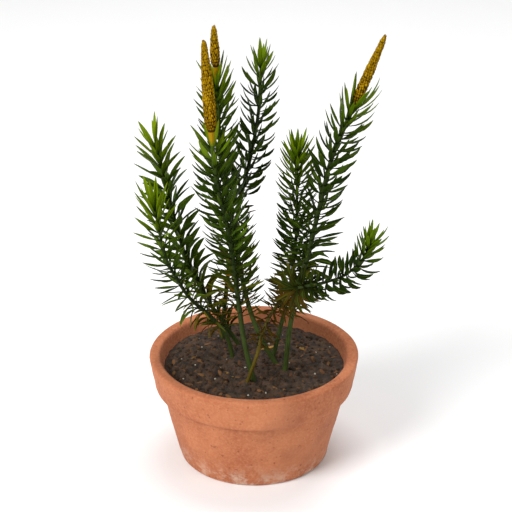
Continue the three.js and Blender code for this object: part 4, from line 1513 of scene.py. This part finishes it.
def make_floor(finish):
    """A pale floor that curves up into a backdrop."""
    bend_start = FLOOR_BACK - BACKDROP_BEND
    side = [(FLOOR_FRONT, 0.0), (bend_start, 0.0)]
    for angle in np.linspace(0, math.pi / 2, BACKDROP_STEPS + 1)[1:]:
        back = bend_start + BACKDROP_BEND * math.sin(angle)
        side.append((back, BACKDROP_BEND - BACKDROP_BEND * math.cos(angle)))
    side.append((FLOOR_BACK, BACKDROP_HEIGHT))
    vertices = [(x, y, z) for y, z in side for x in (-FLOOR_HALF_WIDTH, FLOOR_HALF_WIDTH)]
    faces = [(2 * k, 2 * k + 1, 2 * k + 3, 2 * k + 2) for k in range(len(side) - 1)]
    floor = mesh_object("floor", vertices, (), faces)
    floor.data.shade_smooth()
    floor.data.materials.append(finish)


def add_light(name, place, size, power):
    light = bpy.data.lights.new(name, "AREA")
    light.shape, light.size, light.energy = "DISK", size, power
    made = new_object(name, light)
    made.location = place
    aim = Vector(LIGHT_TARGET) - Vector(place)
    made.rotation_euler = aim.to_track_quat("-Z", "Y").to_euler()


def add_camera():
    """The photograph's view, moved down along the picture so that the pot is in it too."""
    distance = MM_PER_PIXEL * CAMERA_LENS / CAMERA_SENSOR * PICTURE_SIDE * MM
    elevation = math.radians(CAMERA_ELEVATION)
    back = Vector((0, -math.cos(elevation), math.sin(elevation)))
    up = Vector((0, math.sin(elevation), math.cos(elevation)))
    target = Vector(CAMERA_TARGET) * MM - up * PICTURE_LIFT * MM_PER_PIXEL * MM
    data = bpy.data.cameras.new("camera")
    data.lens, data.sensor_width = CAMERA_LENS, CAMERA_SENSOR
    data.clip_start, data.clip_end = CAMERA_CLIP
    camera = new_object("camera", data)
    camera.location = target + back * distance
    camera.rotation_euler = (-back).to_track_quat("-Z", "Y").to_euler()
    bpy.context.scene.camera = camera


def light_studio():
    world = bpy.data.worlds.new("studio")
    world.use_nodes = True
    sky = world.node_tree.nodes["Background"]
    sky.inputs["Color"].default_value = (1, 1, 1, 1)
    sky.inputs["Strength"].default_value = SKY_STRENGTH
    bpy.context.scene.world = world
    for name, (place, size, power) in LIGHTS.items():
        add_light(name, place, size, power)
    bpy.context.scene.view_settings.view_transform = "Standard"


finishes = {
    "leaf": material("leaf_green", leaf_finish),
    "stem": material("stem_green", stem_finish),
    "cone": material("cone_ochre", cone_finish),
    "core": material("cone_core", core_finish),
    "stalk": material("stalk_yellow", stalk_finish),
    "clay": material("fired_clay", clay_finish),
    "earth": material("damp_earth", earth_finish),
    "crumb": material("earth_crumb", crumb_finish("#1c130b", "#4f3a27")),
    "bark": material("bark_chip", crumb_finish("#3a2413", "#7b5533")),
    "grit": material("pale_grit", crumb_finish("#807869", "#c3baa8")),
    "straw": material("shed_leaf_brown", crumb_finish("#6d4c1c", "#a98343")),
    "floor": material("pale_floor", floor_finish),
}
make_pot(finishes)
make_soil(finishes)
grow_plants(finishes)
make_floor(finishes["floor"])
light_studio()
add_camera()
